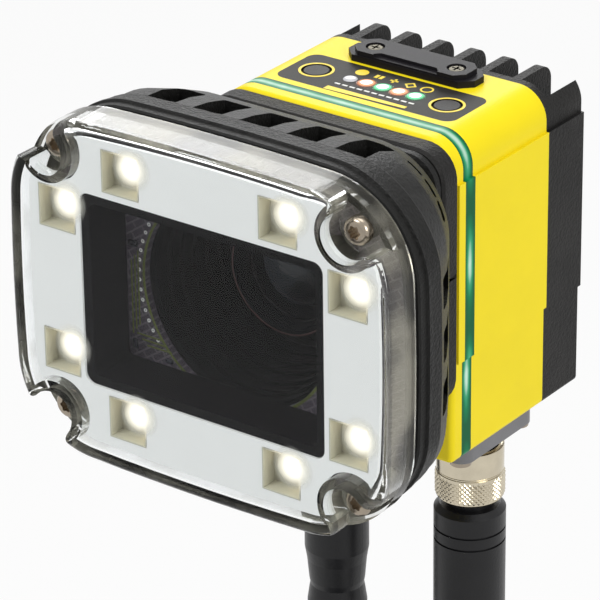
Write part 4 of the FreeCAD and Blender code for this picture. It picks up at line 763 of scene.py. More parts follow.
def copies(piece: Piece, steps: Sequence[Point]) -> list[Piece]:
    """Copies of a piece, each with its own mesh, in place of the piece.

    Args:
        piece: the object, which is dropped.
        steps: how far each copy lies from it.

    Returns:
        The copies.
    """
    twins = []
    for step in steps:
        twin = piece.copy()
        twin.data = piece.data.copy()
        bpy.context.scene.collection.objects.link(twin)
        twin.location = metres(step)
        twins.append(settle(twin))
    bpy.data.objects.remove(piece)
    return twins


def repeated(piece: Piece, steps: Sequence[Point]) -> Piece:
    """Copies of a piece as copies gives them, joined into one object."""
    return merged(copies(piece, steps))


def across(count: int, pitch: float) -> list[Point]:
    """Steps along X, evenly spread about zero."""
    return [((index - (count - 1) / 2) * pitch, 0.0, 0.0) for index in range(count)]


def disc(radius: float, thick: float, at: Point, sides: int = 32) -> Piece:
    """Flat round plate.

    Args:
        radius: its radius.
        thick: its thickness.
        at: its middle.
        sides: corners of the circle.

    Returns:
        The new object.
    """
    deselect()
    bpy.ops.mesh.primitive_cylinder_add(vertices=sides, radius=radius * MM, depth=thick * MM,
                                        location=metres(at))
    return smooth(settle(bpy.context.object))


def ring(outer: float, inner: float, thick: float, at: Point, facing: Facing = Facing.UP,
         sides: int = 64) -> Piece:
    """Flat ring.

    Args:
        outer: outer radius.
        inner: inner radius.
        thick: thickness.
        at: middle of its near face.
        facing: the way it faces.
        sides: corners of the circle.

    Returns:
        The new object.
    """
    deselect()
    bpy.ops.mesh.primitive_circle_add(vertices=sides, radius=outer * MM, fill_type="NGON",
                                      location=metres(at), rotation=facing.value)
    piece = settle(bpy.context.object)
    pick(piece)
    bpy.ops.mesh.inset(thickness=(outer - inner) * MM)
    bpy.ops.mesh.delete(type="FACE")
    leave_edit()
    return modify(piece, "SOLIDIFY", thickness=thick * MM, offset=-1.0)


def slab(size: Point, at: Point, edge: float = 0.0) -> Piece:
    """Block with softened edges.

    Args:
        size: its sizes along X, Y and Z.
        at: its middle.
        edge: bevel of its edges.

    Returns:
        The new object.
    """
    deselect()
    bpy.ops.mesh.primitive_cube_add(size=1.0, location=metres(at), scale=metres(size))
    piece = settle(bpy.context.object)
    if edge:
        modify(piece, "BEVEL", width=edge * MM, segments=2, limit_method="NONE")
    return smooth(piece)


def turned(profile: Sequence[tuple[float, float]], at: Point, facing: Facing = Facing.UP,
           sides: int = 48, closed: bool = False, angle: float = 30.0) -> Piece:
    """Round piece whose outline is drawn ring by ring.

    Args:
        profile: radius and height of each ring.
        at: place of height zero on its axis.
        facing: the way its height runs.
        sides: corners of each ring.
        closed: there is a hole along the axis, and the ends are left open where they don't meet.
        angle: degrees over which an edge stays sharp.

    Returns:
        The new object.
    """
    rings = [metres(step) for step in profile]
    deselect()
    bpy.ops.mesh.primitive_circle_add(vertices=sides, radius=rings[0][0], location=(0.0, 0.0, rings[0][1]),
                                      fill_type="NOTHING" if closed else "NGON")
    piece = settle(bpy.context.object)
    pick(piece, kind=Part.EDGE if closed else Part.FACE)
    bpy.ops.mesh.select_all(action="SELECT")
    for (old_radius, old_height), (new_radius, new_height) in zip(rings, rings[1:]):
        extrude(0.0, 0.0, new_height - old_height)
        growth = new_radius / old_radius
        bpy.ops.transform.resize(value=(growth, growth, 1.0), center_override=(0.0, 0.0, new_height))
    bpy.ops.mesh.select_all(action="SELECT")
    bpy.ops.mesh.remove_doubles(threshold=0.002 * MM)
    bpy.ops.mesh.normals_make_consistent(inside=False)
    leave_edit()
    return smooth(stood(piece, at, facing), angle)


@dataclass(frozen=True)
class Outline:
    """Rounded rectangle round the optical axis whose sides may bow outwards."""

    depth: float
    half_width: float
    half_height: float
    corner: float
    bow: float = 0.0

    def point(self, turn: float) -> Point:
        """Point of the outline in one direction, in metres.

        Args:
            turn: angle round the optical axis, from +X towards +Z.

        Returns:
            The point.
        """
        wide, high = self.half_width - self.bow, self.half_height - self.bow
        aside, up = abs(math.cos(turn)), abs(math.sin(turn))
        reach = min(wide / max(aside, 1e-9), high / max(up, 1e-9))
        x, z = aside * reach, up * reach
        middle_x, middle_z = wide - self.corner, high - self.corner
        if x > middle_x and z > middle_z:
            near = aside * middle_x + up * middle_z
            reach = near + math.sqrt(self.corner ** 2 - middle_x ** 2 - middle_z ** 2 + near ** 2)
            x, z = aside * reach, up * reach
        x += self.bow * max(0.0, 1.0 - (z / high) ** 2) * (x / wide) ** 4
        z += self.bow * max(0.0, 1.0 - (x / wide) ** 2) * (z / high) ** 4
        return metres((math.copysign(x, math.cos(turn)), -self.depth,
                       AXIS_HEIGHT + math.copysign(z, math.sin(turn))))


def lofted(outlines: Sequence[Outline], sides: int = 160) -> Piece:
    """Closed piece drawn from outline to outline along the optical axis.

    Args:
        outlines: from the rear to the front.
        sides: corners of each outline.

    Returns:
        The new object.
    """
    deselect()
    bpy.ops.mesh.primitive_circle_add(vertices=sides, radius=1.0, fill_type="NGON")
    piece = settle(bpy.context.object)
    for number, outline in enumerate(outlines):
        if number:
            first = len(piece.data.vertices) - sides
            pick(piece, lambda face: len(face.vertices) == sides and min(face.vertices) >= first)
            extrude(0.0, -MM, 0.0)
            leave_edit()
        for index, corner in enumerate(list(piece.data.vertices)[-sides:]):
            corner.co = outline.point(FULL_TURN * (index + 0.5) / sides)
    pick(piece)
    bpy.ops.mesh.normals_make_consistent(inside=False)
    leave_edit()
    return smooth(piece, 35.0)


def set_glow(piece: Piece, centre: Point, reach: float, core: float = 0.0) -> None:
    """Write the "glow" attribute: one inside the core, falling to nothing at the reach.

    Args:
        piece: the object.
        centre: the brightest point.
        reach: distance at which the light ends.
        core: distance up to which it is full.
    """
    glow = piece.data.attributes.new("glow", "FLOAT", "POINT")
    for corner, value in zip(piece.data.vertices, glow.data):
        away = (corner.co - Vector(metres(centre))).length / MM
        value.value = min(1.0, max(0.0, (reach - away) / (reach - core)))


def cut_away(piece: Piece, cutter: Piece) -> Piece:
    """Take the cutter's form out of a piece and drop the cutter.

    Args:
        piece: the object.
        cutter: what is cut from it.

    Returns:
        The piece.
    """
    modify(piece, "BOOLEAN", operation="DIFFERENCE", object=cutter, solver="MANIFOLD")
    bpy.data.objects.remove(cutter)
    return piece


def bored(piece: Piece, radius: float, start: float, end: float, sides: int = 64) -> Piece:
    """Bore a piece along the optical axis.

    Args:
        piece: the object.
        radius: the bore's radius.
        start: depth at which the tool starts.
        end: depth at which it ends.
        sides: corners of the bore.

    Returns:
        The piece.
    """
    return cut_away(piece, turned([(radius, 0.0), (radius, end - start)], (0.0, -start, AXIS_HEIGHT),
                                  Facing.FRONT, sides=sides))


def four_ways(place: tuple[float, float]) -> list[Point]:
    """Steps to a place off the optical axis and to its three mirror images."""
    x, z = place
    return [(side * x, 0.0, AXIS_HEIGHT + level * z) for side in (-1, 1) for level in (-1, 1)]


# ---------------------------------------------------------------- studio


@dataclass
class Studio:
    """Viewpoint, pale floor, white surroundings and soft lamps."""

    lens: float = 240.16
    spot: Point = (0.44657, -0.66232, 0.36127)
    azimuth: float = 36.60
    elevation: float = 25.81
    roll: float = -0.762
    floor_level: float = -0.262
    soft_light: float = 0.36
    aim: Point = (0.0, -0.05, 0.0)
    lamps: tuple[tuple[str, Point, float, float, Colour], ...] = (
        ("key", (-0.35, -0.75, 0.95), 0.55, 7.2, (1.0, 1.0, 1.0)),
        ("side", (1.05, -0.25, 0.45), 0.50, 6.8, (1.0, 0.99, 0.97)),
        ("top", (0.05, 0.15, 1.05), 0.60, 3.5, (1.0, 1.0, 1.0)),
        ("back", (-0.60, 0.85, 0.50), 0.50, 3.2, (1.0, 1.0, 1.0)),
    )

    def build(self) -> None:
        """Make the viewpoint, the floor, the world and the lamps."""
        self.viewpoint()
        self.surroundings()
        self.floor()
        for lamp in self.lamps:
            self.lamp(*lamp)
        bpy.context.scene.view_settings.view_transform = "Standard"

    def viewpoint(self) -> None:
        """Make the camera that looks at the object."""
        turn = (Matrix.Rotation(math.radians(self.azimuth), 3, "Z")
                @ Matrix.Rotation(math.radians(90 - self.elevation), 3, "X")
                @ Matrix.Rotation(math.radians(self.roll), 3, "Z"))
        bpy.ops.object.camera_add(location=self.spot, rotation=turn.to_euler())
        viewpoint = bpy.context.object
        viewpoint.name = "viewpoint"
        viewpoint.data.lens = self.lens
        viewpoint.data.sensor_width = 36.0
        viewpoint.data.clip_start = 0.05
        viewpoint.data.clip_end = 20.0
        bpy.context.scene.camera = viewpoint

    def surroundings(self) -> None:
        """White where it is seen or mirrored, a plain soft light elsewhere."""
        world = bpy.data.worlds.new("surroundings")
        bpy.context.scene.world = world
        sheet = Sheet(world)
        soft, white = (sheet.shader("Background", Color=(1.0,) * 3, Strength=strength)
                       for strength in (self.soft_light, 1.0))
        sheet.show(sheet.mix(sheet.seen(), soft, white))

    def floor(self) -> None:
        """Pale floor that keeps a soft shadow."""
        deselect()
        bpy.ops.mesh.primitive_circle_add(vertices=96, radius=9.0, fill_type="NGON",
                                          location=(0.0, 0.0, self.floor_level))
        floor = settle(bpy.context.object)
        floor.name = "floor"
        paint = bpy.data.materials.new("floor_paint")
        sheet = Sheet(paint)
        dull = sheet.shader("BsdfDiffuse", Color=(0.82,) * 3)
        sheet.show(sheet.mix(sheet.math("MULTIPLY", sheet.seen(), 0.8), dull, sheet.shader("Emission")))
        floor.data.materials.append(paint)

    def lamp(self, name: str, at: Point, size: float, power: float, colour: Colour) -> None:
        """Add a square soft lamp aimed at the ring light.

        Args:
            name: its name.
            at: its place.
            size: its side.
            power: watts.
            colour: its colour.
        """
        turn = (Vector(self.aim) - Vector(at)).to_track_quat("-Z", "Y").to_euler()
        bpy.ops.object.light_add(type="AREA", location=at, rotation=turn)
        lamp = bpy.context.object
        lamp.name = name
        lamp.data.size = size
        lamp.data.energy = power
        lamp.data.color = colour


# ---------------------------------------------------------------- cables


@dataclass
class Cable:
    """One cable, in metres: route out of its plug, neat coil of the rest, tail to its far end."""

    name: str
    side: float
    route: tuple[Point, ...]
    tail: tuple[Point, ...]
    length: float
    far_end: str
    coil_middle: Point
    coil_radius: float = 37.3 * MM
    turns: int = 8
    points_per_turn: int = 16
    diameter: float = 6.5 * MM
    lay_radius: float = 9.5 * MM
    lay_start: float = 20.0

    def coil_points(self) -> list[Point]:
        """Points of the coil's turns, which lie round each other a diameter apart.

        Returns:
            The control points in order.
        """
        steps = self.turns * self.points_per_turn
        grow = 8.0 / (6.0 + 2.0 * math.cos(FULL_TURN / self.points_per_turn))
        sweep = FULL_TURN - 2 * math.radians(self.lay_start)
        x0, y0, z0 = self.coil_middle
        points = []
        for step in range(steps + 1):
            turn = step / self.points_per_turn * FULL_TURN
            lay = math.radians(self.lay_start) + sweep * step / steps
            radius = (self.coil_radius + self.lay_radius * math.cos(lay)) * grow
            aside = self.lay_radius * math.sin(lay) * self.side
            points.append((x0 + aside, y0 + radius * math.cos(turn), z0 - radius * math.sin(turn)))
        return points

    def build(self, nodes: Sequence[str], far_pieces: Sequence[Piece]) -> None:
        """Args:
            nodes: CAD nodes that it stands for.
            far_pieces: the pieces on its far end and its ties; not used.
        """
        points = [*self.route, *self.coil_points(), *self.tail]
        curve = bpy.data.curves.new(self.name, "CURVE")
        curve.dimensions = "3D"
        spline = curve.splines.new("NURBS")
        spline.points.add(len(points) - 1)
        for control, point in zip(spline.points, points):
            control.co = (*point, 1.0)
        spline.order_u = 3
        spline.use_endpoint_u = True
        spline.resolution_u = 6
        curve.bevel_depth = self.diameter / 2
        curve.bevel_resolution = 5
        curve.use_fill_caps = True
        cable = bpy.data.objects.new(self.name, curve)
        bpy.context.scene.collection.objects.link(cable)
        dress(cable, "cable_black")
        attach(cable, BODY)
        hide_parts(*nodes)
        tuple(self.route[0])
        LOG.info("%s: %d control points", self.name, len(points))


@dataclass
class Cabling:
    """Both cables with their ties and far ends."""

    spacing: float = 18.0
    depth: float = -24.0
    coil_height: float = -178.0
    coil_back: float = -61.3
    core_tints: tuple[str, ...] = ("core_brown", "core_white", "core_blue", "core_grey", "core_brown",
                                   "core_white")
    core_circle: float = 1.7
    core_foot: Point = (18.4, -24.0, -233.6)
    pins: int = 8
    pin_pitch: float = 1.02

    def build(self, nodes: dict[str, Piece]) -> None:
        """Args:
            nodes: the CAD nodes.
        """
        x, y = self.spacing * MM, self.depth * MM
        back, height = self.coil_back * MM, self.coil_height * MM
        power_ties, network_ties = nodes["power_coil_ties"], nodes["network_coil_ties"]
        for ties in (power_ties, network_ties):
            dress(ties, "tie_fabric")
        dress(nodes["network_jack"], "jack_shell")
        power = Cable(
            "power_lead", 1.0,
            ((x, y, -0.10765), (x, y, -0.12165), (x + 0.0005, y + 0.0015, -0.13565),
             (x + 0.0022, y + 0.0060, -0.1500), (x + 0.00325, y + 0.0088, -0.1640)),
            ((x - 0.0030, y + 0.0086, -0.1920), (x - 0.0015, y + 0.0050, -0.2055),
             (x, y + 0.0004, -0.2200), (x + 0.0004, y, -0.2340)),
            2.0, "bare", (x, back, height))
        power.build(("power_cable", "power_coil", "power_cable_end"), [power_ties, *self.bare_end()])
        network = Cable(
            "network_lead", -1.0,
            ((-x, y, -0.11645), (-x, y, -0.12745), (-x - 0.0004, y + 0.0015, -0.13945),
             (-x - 0.0022, y + 0.0060, -0.1520), (-x - 0.00325, y + 0.0088, -0.1650)),
            ((-x + 0.0030, y + 0.0080, -0.1900), (-x + 0.0015, y + 0.0040, -0.2000),
             (-x, y + 0.0005, -0.2085), (-x, y, -0.2180)),
            2.0, "plug", (-x, back, height))
        network.build(("network_cable", "network_coil", "network_cable_end"),
                      [network_ties, nodes["network_jack"], *self.jack_trim()])

    def bare_end(self) -> list[Piece]:
        """Coloured cores with tinned ends that come out of the power cable's jacket.

        Returns:
            The cores and their tinned ends.
        """
        turns = [FULL_TURN * index / len(self.core_tints) for index in range(len(self.core_tints))]
        steps = [(self.core_circle * math.cos(turn), self.core_circle * math.sin(turn), 0.0)
                 for turn in turns]
        core = turned([(0.62, -1.0), (0.7, -0.8), (0.7, 10.3), (0.6, 10.5)], self.core_foot, Facing.DOWN,
                      sides=16)
        end = turned([(0.4, 10.4), (0.4, 15.2), (0.25, 15.6)], self.core_foot, Facing.DOWN, sides=12)
        pieces = []
        for index, (jacket, tip) in enumerate(zip(copies(core, steps), copies(end, steps))):
            pieces += [hand_over(jacket, f"lead_core_{index}", self.core_tints[index]),
                       hand_over(tip, f"lead_end_{index}", "tinned_core")]
        return pieces

    def jack_trim(self) -> list[Piece]:
        """Contacts and latch of the network cable's far plug.

        Returns:
            The contacts and the latch.
        """
        pin = slab((0.5, 0.5, 5.0), (-self.spacing, self.depth - 4.15, -250.5))
        latch = slab((5.6, 0.9, 12.0), (-self.spacing, self.depth + 4.6, -246.5), 0.2)
        return [hand_over(repeated(pin, across(self.pins, self.pin_pitch)), "jack_contacts",
                          "gold_contact"),
                hand_over(latch, "jack_latch", "jack_shell")]


# ---------------------------------------------------------------- camera head


@dataclass
class CadFinishes:
    """Finish of every CAD node that stays as it is."""

    by_finish: dict[str, tuple[str, ...]] = field(default_factory=lambda: {
        "black_cast": ("heat_sink_housing",),
        "yellow_plastic": ("body_cover",),
        "green_light": ("light_pipe",),
        "panel_print": ("control_panel",),
        "circuit_board": ("key_board", "sensor_board", "main_board"),
        "button_black": ("left_button", "right_button"),
        "card_grey": ("card_cover",),
        "hood_black": ("light_hood",),
        "steel_screw": ("plate_screws",),
        "steel_sheet": ("card_socket",),
        "black_anodised": ("lens_barrel",),
        "lens_glass": ("front_lens", "rear_lens"),
        "chip": ("image_sensor",),
        "brass_post": ("board_posts",),
        "black_rubber": ("light_seal", "board_pads", "power_seal", "network_seal"),
        "clear_plastic": ("clear_cover",),
        "white_sheet": ("reflector",),
        "light_board": ("light_board",),
        "black_gloss": ("window_frame",),
        "grey_plate": ("connector_plate",),
        "nickel": ("power_connector", "network_connector"),
        "plug_black": ("power_plug", "network_plug"),
    })

    def build(self, nodes: dict[str, Piece]) -> None:
        """Dress the CAD nodes.

        Args:
            nodes: the CAD nodes.
        """
        for finish, names in self.by_finish.items():
            for name in names:
                dress(smooth(nodes[name], 32.0), finish)


@dataclass
class ControlPanel:
    """Status lamps, printed marks and button rings on top of the camera."""

    level: float = 36.75
    depth: float = -31.6
    button_spread: float = 16.7
    lamp_pitch: float = 4.15
    lamp_shift: float = 0.4
    print_thick: float = 0.05
    mark_row: float = -27.3
    dash_row: float = -35.1
    dash_shift: float = 0.7
    dash_pitch: float = 1.88
    wedge_row: float = -37.6
    lenses: tuple[str, ...] = ("lamp_lens", "orange_lens", "green_lens", "orange_lens", "green_lens")

    def build(self) -> None:
        """Make the lamps and the marks."""
        self.status_lamps()
        self.button_rings()
        self.dashes()
        self.wedge()
        self.lamp_marks()

    def status_lamps(self) -> None:
        """Five small domed lamps, four of them lit, with the light they throw round them; the unlit one has a
        painted grey glow.
        """
        at = (self.lamp_shift, self.depth, self.level)
        steps = across(len(self.lenses), self.lamp_pitch)
        dome = turned([(1.55, -0.75), (1.55, 0.1), (1.35, 0.25), (0.9, 0.33), (0.4, 0.35)], at, sides=32,
                      angle=60.0)
        for index, lamp in enumerate(copies(dome, steps)):
            hand_over(lamp, f"status_lamp_{index}", self.lenses[index],
                      replaces=("status_lamps",))
        halo = turned([(1.3, 0.28), (1.6, 0.24), (1.85, 0.14), (2.1, 0.08), (2.4, 0.05)], at, sides=32,
                      closed=True)
        set_glow(halo, at, 2.4, 1.6)
        for index, light in enumerate(copies(halo, steps[1:]), start=1):
            hand_over(light, f"lamp_halo_{index}", self.lenses[index].replace("lens", "glow"))

    def button_rings(self) -> None:
        """Printed ring round each button."""
        one = ring(3.88, 3.31, self.print_thick, (0.0, self.depth, self.level + self.print_thick))
        self.printed(repeated(one, across(2, 2 * self.button_spread)), "button_rings")

    def dashes(self) -> None:
        """Dashed line in front of the lamps."""
        dash = slab((1.3, 0.5, self.print_thick), (self.dash_shift, self.dash_row, self.middle))
        self.printed(repeated(dash, across(11, self.dash_pitch)), "dash_line", "white_print")

    def wedge(self) -> None:
        """Bar that narrows to one side, in front of the dashes."""
        deselect()
        bpy.ops.mesh.primitive_plane_add(size=1.0, location=metres((0.4, self.wedge_row, self.middle)))
        wedge = bpy.context.object
        wedge.scale = (20.2 * MM, 1.0 * MM, 1.0)
        settle(wedge)
        pick(wedge)
        extrude(0.0, 0.0, self.print_thick / 2 * MM)
        leave_edit()
        for side, step in ((1, -0.05), (-1, -0.75)):
            pick(wedge, lambda corner: corner.co.x * side > 0.0 and corner.co.y < self.wedge_row * MM,
                 Part.VERT)
            bpy.ops.transform.translate(value=(0.0, step * MM, 0.0))
            leave_edit()
        self.printed(wedge, "panel_wedge")

    def lamp_marks(self) -> None:
        """Plain mark behind each lamp: disc, two bars, cross, diamond and ring."""
        spots = [(self.lamp_shift + x, self.mark_row, self.middle) for x, _, _ in across(5, self.lamp_pitch)]
        thick, top = self.print_thick, self.level + self.print_thick
        bars = slab((0.8, 1.6, thick), (spots[1][0] + 0.3, *spots[1][1:]))
        marks = [disc(1.5, thick, spots[0]), repeated(bars, across(2, 1.2)),
                 slab((0.5, 2.0, thick), spots[2]), slab((2.0, 0.5, thick), spots[2])]
        marks += [ring(1.5, 1.1, thick, (*spot[:2], top), sides=sides)
                  for spot, sides in zip(spots[3:], (4, 32))]
        self.printed(merged(marks), "lamp_marks")

    def printed(self, piece: Piece, name: str, finish: str = "yellow_print") -> None:
        """Hand over a printed mark.

        Args:
            piece: the object.
            name: its name.
            finish: name of its finish.
        """
        hand_over(piece, name, finish)

    @property
    def middle(self) -> float:
        """Height of the middle of the print."""
        return self.level + self.print_thick / 2


@dataclass
class CardCover:
    """Two cross-socket screws of the memory card's cover."""

    spread: float = 10.4
    depth: float = -18.9
    top: float = 39.15
    socket: Point = (2.2, 0.5, 1.2)

    def build(self) -> None:
        """Make one screw and copy it."""
        at = (0.0, self.depth, self.top)
        screw = turned([(0.7, -3.4), (0.95, -3.1), (0.95, -1.1), (1.75, -1.1), (1.8, -1.0), (1.8, -0.25),
                        (1.55, -0.05), (1.2, 0.0)], at)
        long, wide, deep = self.socket
        for size in ((long, wide, deep), (wide, long, deep)):
            cut_away(screw, slab(size, at))
        both = repeated(screw, across(2, 2 * self.spread))
        hand_over(smooth(both), "card_screws", "dull_brass", replaces=("card_cover_screws",))


@dataclass
class RingLight:
    """Lamps, screws and the board behind the window of the ring light."""

    board_depth: float = -81.9
    face_depth: float = -94.0
    high_lamp: tuple[float, float] = (19.7, 27.8)
    side_lamp: tuple[float, float] = (36.5, 16.3)
    hot_spot: Point = (2.1, -91.4, 1.7)
    fringe_spot: Point = (3.2, -94.3, 2.4)
    pocket_wide: float = 9.5
    pocket_deep: float = 3.5
    screw_place: tuple[float, float] = (37.3, 29.8)
    screw_seat: float = -91.0
    screw_sides: int = 48
    screw_top: float = 2.5
    screw_flat: float = 2.0
    socket_points: int = 6
    socket_reach: float = 1.35
    socket_wave: float = 0.13
    hole_circle: float = 25.2

    def build(self) -> None:
        """Make every piece."""
        self.lamps()
        self.screws()
        self.hole_rims()
        self.board_parts()

    def lamps(self) -> None:
        """Square pocket, glowing dome and fringe of light at each of the eight lamps; the pocket's walls
        carry painted light from the lamp.
        """
        steps = four_ways(self.high_lamp) + four_ways(self.side_lamp)
        pocket = self.pocket()
        # The pocket's glow is painted lamp light on its walls.
        set_glow(pocket, self.hot_spot, 6.6, 1.5)
        hand_over(repeated(pocket, steps), "lamp_pockets", "lamp_light")
        dome = turned([(3.6, -0.1), (3.5, 0.3), (2.9, 0.9), (2.1, 1.35), (1.3, 1.6), (0.5, 1.7)],
                      (0.0, self.face_depth + 3.4, 0.0), Facing.FRONT, sides=32, angle=70.0)
        set_glow(dome, self.hot_spot, 5.8, 1.2)
        hand_over(repeated(dome, steps), "lamp_domes", "lamp_light", replaces=("lamp_optics",))
        fringe = turned([(0.2, 0.0), (1.0, 0.0), (2.0, 0.0), (3.0, 0.0), (4.0, 0.0), (5.0, 0.0)],
                        self.fringe_spot, Facing.FRONT, sides=32, closed=True)
        set_glow(fringe, self.fringe_spot, 5.0)
        hand_over(repeated(fringe, steps), "lamp_fringes", "lamp_fringe")

    def pocket(self) -> Piece:
        """Thin-walled square tube with a floor.

        Returns:
            The tube.
        """
        deselect()
        bpy.ops.mesh.primitive_plane_add(size=self.pocket_wide * MM, location=(0.0, 0.0, 0.0))
        tube = settle(bpy.context.object)
        floor = -self.pocket_deep * MM
        pick(tube)
        bpy.ops.mesh.inset(thickness=0.3 * MM)
        extrude(0.0, 0.0, floor)
        bpy.ops.transform.resize(value=(0.94, 0.94, 1.0), center_override=(0.0, 0.0, floor))
        bpy.ops.mesh.select_all(action="SELECT")
        bpy.ops.mesh.subdivide(number_cuts=7)
        leave_edit()
        return stood(tube, (0.0, self.face_depth - 0.06, 0.0), Facing.FRONT)

    def screws(self) -> None:
        """Four domed screws with star sockets."""
        screw = turned([(1.2, -9.5), (1.5, -9.2), (1.5, 0.0), (2.85, 0.0), (3.0, 0.15), (3.0, 1.45),
                        (2.85, 1.95), (2.5, 2.3), (self.screw_flat, self.screw_top)], (0.0, 0.0, 0.0),
                       sides=self.screw_sides)
        self.star_socket(screw)
        all_four = repeated(stood(screw, (0.0, self.screw_seat, 0.0), Facing.FRONT),
                            four_ways(self.screw_place))
        hand_over(smooth(all_four), "light_screws", "steel_screw", replaces=("cover_screws",))

    def star_socket(self, screw: Piece) -> None:
        """Sink a star-shaped socket into the flat end of a screw's head.

        Args:
            screw: the screw, standing on its axis.
        """
        level, reach = self.screw_top * MM, self.socket_reach * MM

        def is_end(face: bpy.types.MeshPolygon) -> bool:
            """Whether a face is the head's flat end or part of it."""
            return len(face.vertices) == self.screw_sides and abs(face.center.z - level) < 0.01 * MM

        pick(screw, is_end)
        bpy.ops.mesh.inset(thickness=(self.screw_flat - self.socket_reach) * MM)
        leave_edit()
        inner = next(face for face in screw.data.polygons if face.select and is_end(face))
        turns = {index: math.atan2(screw.data.vertices[index].co.y, screw.data.vertices[index].co.x)
                 for index in inner.vertices}
        waves = {index: round(math.cos(self.socket_points * turn), 3) for index, turn in turns.items()}
        for wave in sorted(set(waves.values())):
            pick(screw, lambda corner: waves.get(corner.index) == wave, Part.VERT)
            growth = 1.0 + self.socket_wave * wave
            bpy.ops.transform.resize(value=(growth, growth, 1.0), center_override=(0.0, 0.0, level))
            leave_edit()
        pick(screw, lambda face: is_end(face) and all(
            screw.data.vertices[index].co.xy.length < reach * 1.2 for index in face.vertices))
        extrude(0.0, 0.0, -1.5 * MM)
        leave_edit()

    def hole_rims(self) -> None:
        """Bare rim round the board's hole and the lens's coloured ring."""
        rim = ring(24.35, 23.75, 0.05, (0.0, self.board_depth - 0.02, AXIS_HEIGHT), Facing.FRONT, 96)
        hand_over(rim, "board_hole_rim", "mask_rim")
        mark = ring(13.3, 12.95, 0.05, (0.0, -66.1, AXIS_HEIGHT), Facing.FRONT, 96)
        hand_over(mark, "lens_ring", "red_ring")

    def board_parts(self) -> None:
        """Tracks, plated holes and small parts on the board where the window shows it."""
        front = self.board_depth - 0.06
        upright = repeated(slab((0.35, 0.05, 17.0), (-27.2, front, 1.0)),
                           [(index * 0.9, 0.0, index * 1.2) for index in range(3)])
        level = repeated(slab((6.5, 0.05, 0.35), (-23.0, front, -7.2)),
                         [(index * 1.3, 0.0, -index * 1.1) for index in range(3)])
        hand_over(merged([upright, level]), "board_tracks", "mask_rim")
        turns = [math.radians(-28 + index * 5.2) for index in range(13)]
        holes = repeated(ring(0.42, 0.2, 0.05, (0.0, front, AXIS_HEIGHT), Facing.FRONT, 16),
                         [(-self.hole_circle * math.cos(turn), 0.0, -self.hole_circle * math.sin(turn))
                          for turn in turns])
        hand_over(holes, "board_holes", "white_print")
        parts = [slab(size, (x, front - size[1] / 2, z), 0.1) for size, x, z in (
            ((2.2, 0.8, 1.2), -26.3, 13.5), ((1.2, 0.6, 2.0), -26.6, -9.6), ((1.6, 0.6, 0.9), -17.6, -11.3))]
        hand_over(merged(parts), "board_parts", "chip")


@dataclass
class LightHousing:
    """Housing of the ring light: beaded wall, screw posts and the slotted vanes behind it."""

    half_width: float = 47.3
    half_height: float = 38.5
    corner: float = 20.0
    bow: float = 1.4
    wall: float = 2.6
    floor_depth: float = 77.9
    wall_end: float = 77.8
    bore: float = 25.0
    vanes: tuple[Outline, ...] = (
        Outline(60.4, 35.6, 31.0, 17.0), Outline(60.9, 36.2, 31.5, 17.5), Outline(62.4, 38.4, 34.4, 17.5),
        Outline(66.5, 41.0, 35.8, 18.0), Outline(72.0, 44.4, 37.2, 19.0))
    wall_steps: tuple[tuple[float, float], ...] = (
        (76.9, -0.5), (77.8, 0.0), (81.2, 0.0), (81.5, 0.45), (82.7, 0.5), (83.0, 0.0), (85.0, 0.0),
        (85.4, -0.4))
    slot_start: float = 66.5
    slot_pitch: float = 11.8
    slot_wide: float = 7.2
    slot_shift: float = 1.0
    slot_edge: float = 0.6
    fan_degrees: tuple[float, ...] = (33.0, 45.0, 57.0)
    fan_wide: float = 4.4
    fan_middle: tuple[float, float] = (20.0, 12.5)
    fan_reach: float = 18.5
    post_place: tuple[float, float] = (37.3, 29.8)

    def build(self) -> None:
        """Make the shell, hollow it, cut its slots and set its screw posts."""
        shell = lofted([*self.vanes, *(self.outline(depth, grow) for depth, grow in self.wall_steps)])
        cut_away(shell, lofted([self.outline(depth, -self.wall) for depth in (self.floor_depth, 88.0)]))
        bored(shell, self.bore, 57.0, 88.0, 72)
        for cutter in self.slots():
            cut_away(shell, cutter)
        post = turned([(2.8, 0.0), (2.8, 12.8), (2.6, 13.0), (1.6, 13.05)], (0.0, -self.floor_depth, 0.0),
                      Facing.FRONT, sides=40)
        housing = merged([shell, *copies(post, four_ways(self.post_place))])
        hand_over(smooth(housing, 25.0), "ring_light_housing", "black_plastic",
                  replaces=("light_housing",))

    def outline(self, depth: float, grow: float) -> Outline:
        """Full outline of the light at a depth, grown a little."""
        return Outline(depth, self.half_width + grow, self.half_height + grow, self.corner + grow, self.bow)

    def slots(self) -> Iterator[Piece]:
        """Cutters of the air slots: five above and below, three on each side, four corners of three.

        Returns:
            The cutters, one after the other.
        """
        end = self.wall_end + 0.2
        middle, long = -(end + self.slot_start) / 2, end - self.slot_start
        for level in (-1, 1):
            for x, _, _ in across(5, self.slot_pitch):
                yield slab((self.slot_wide, long, 13.0),
                           (x + self.slot_shift, middle, AXIS_HEIGHT + level * 35.2), self.slot_edge)
        for side in (-1, 1):
            for z, _, _ in across(3, self.slot_pitch):
                yield slab((15.0, long, self.slot_wide), (side * 38.6, middle, AXIS_HEIGHT + z),
                           self.slot_edge)
        for side, level in ((-1, -1), (-1, 1), (1, -1), (1, 1)):
            for turn in map(math.radians, self.fan_degrees):
                tool = slab((12.0, long, self.fan_wide), (0.0, 0.0, 0.0), self.slot_edge)
                tool.rotation_euler = (0.0, -turn * side * level, 0.0)
                tool.location = metres((side * (self.fan_middle[0] + self.fan_reach * math.cos(turn)), middle,
                                        AXIS_HEIGHT + level * (self.fan_middle[1]
                                                               + self.fan_reach * math.sin(turn))))
                yield settle(tool)


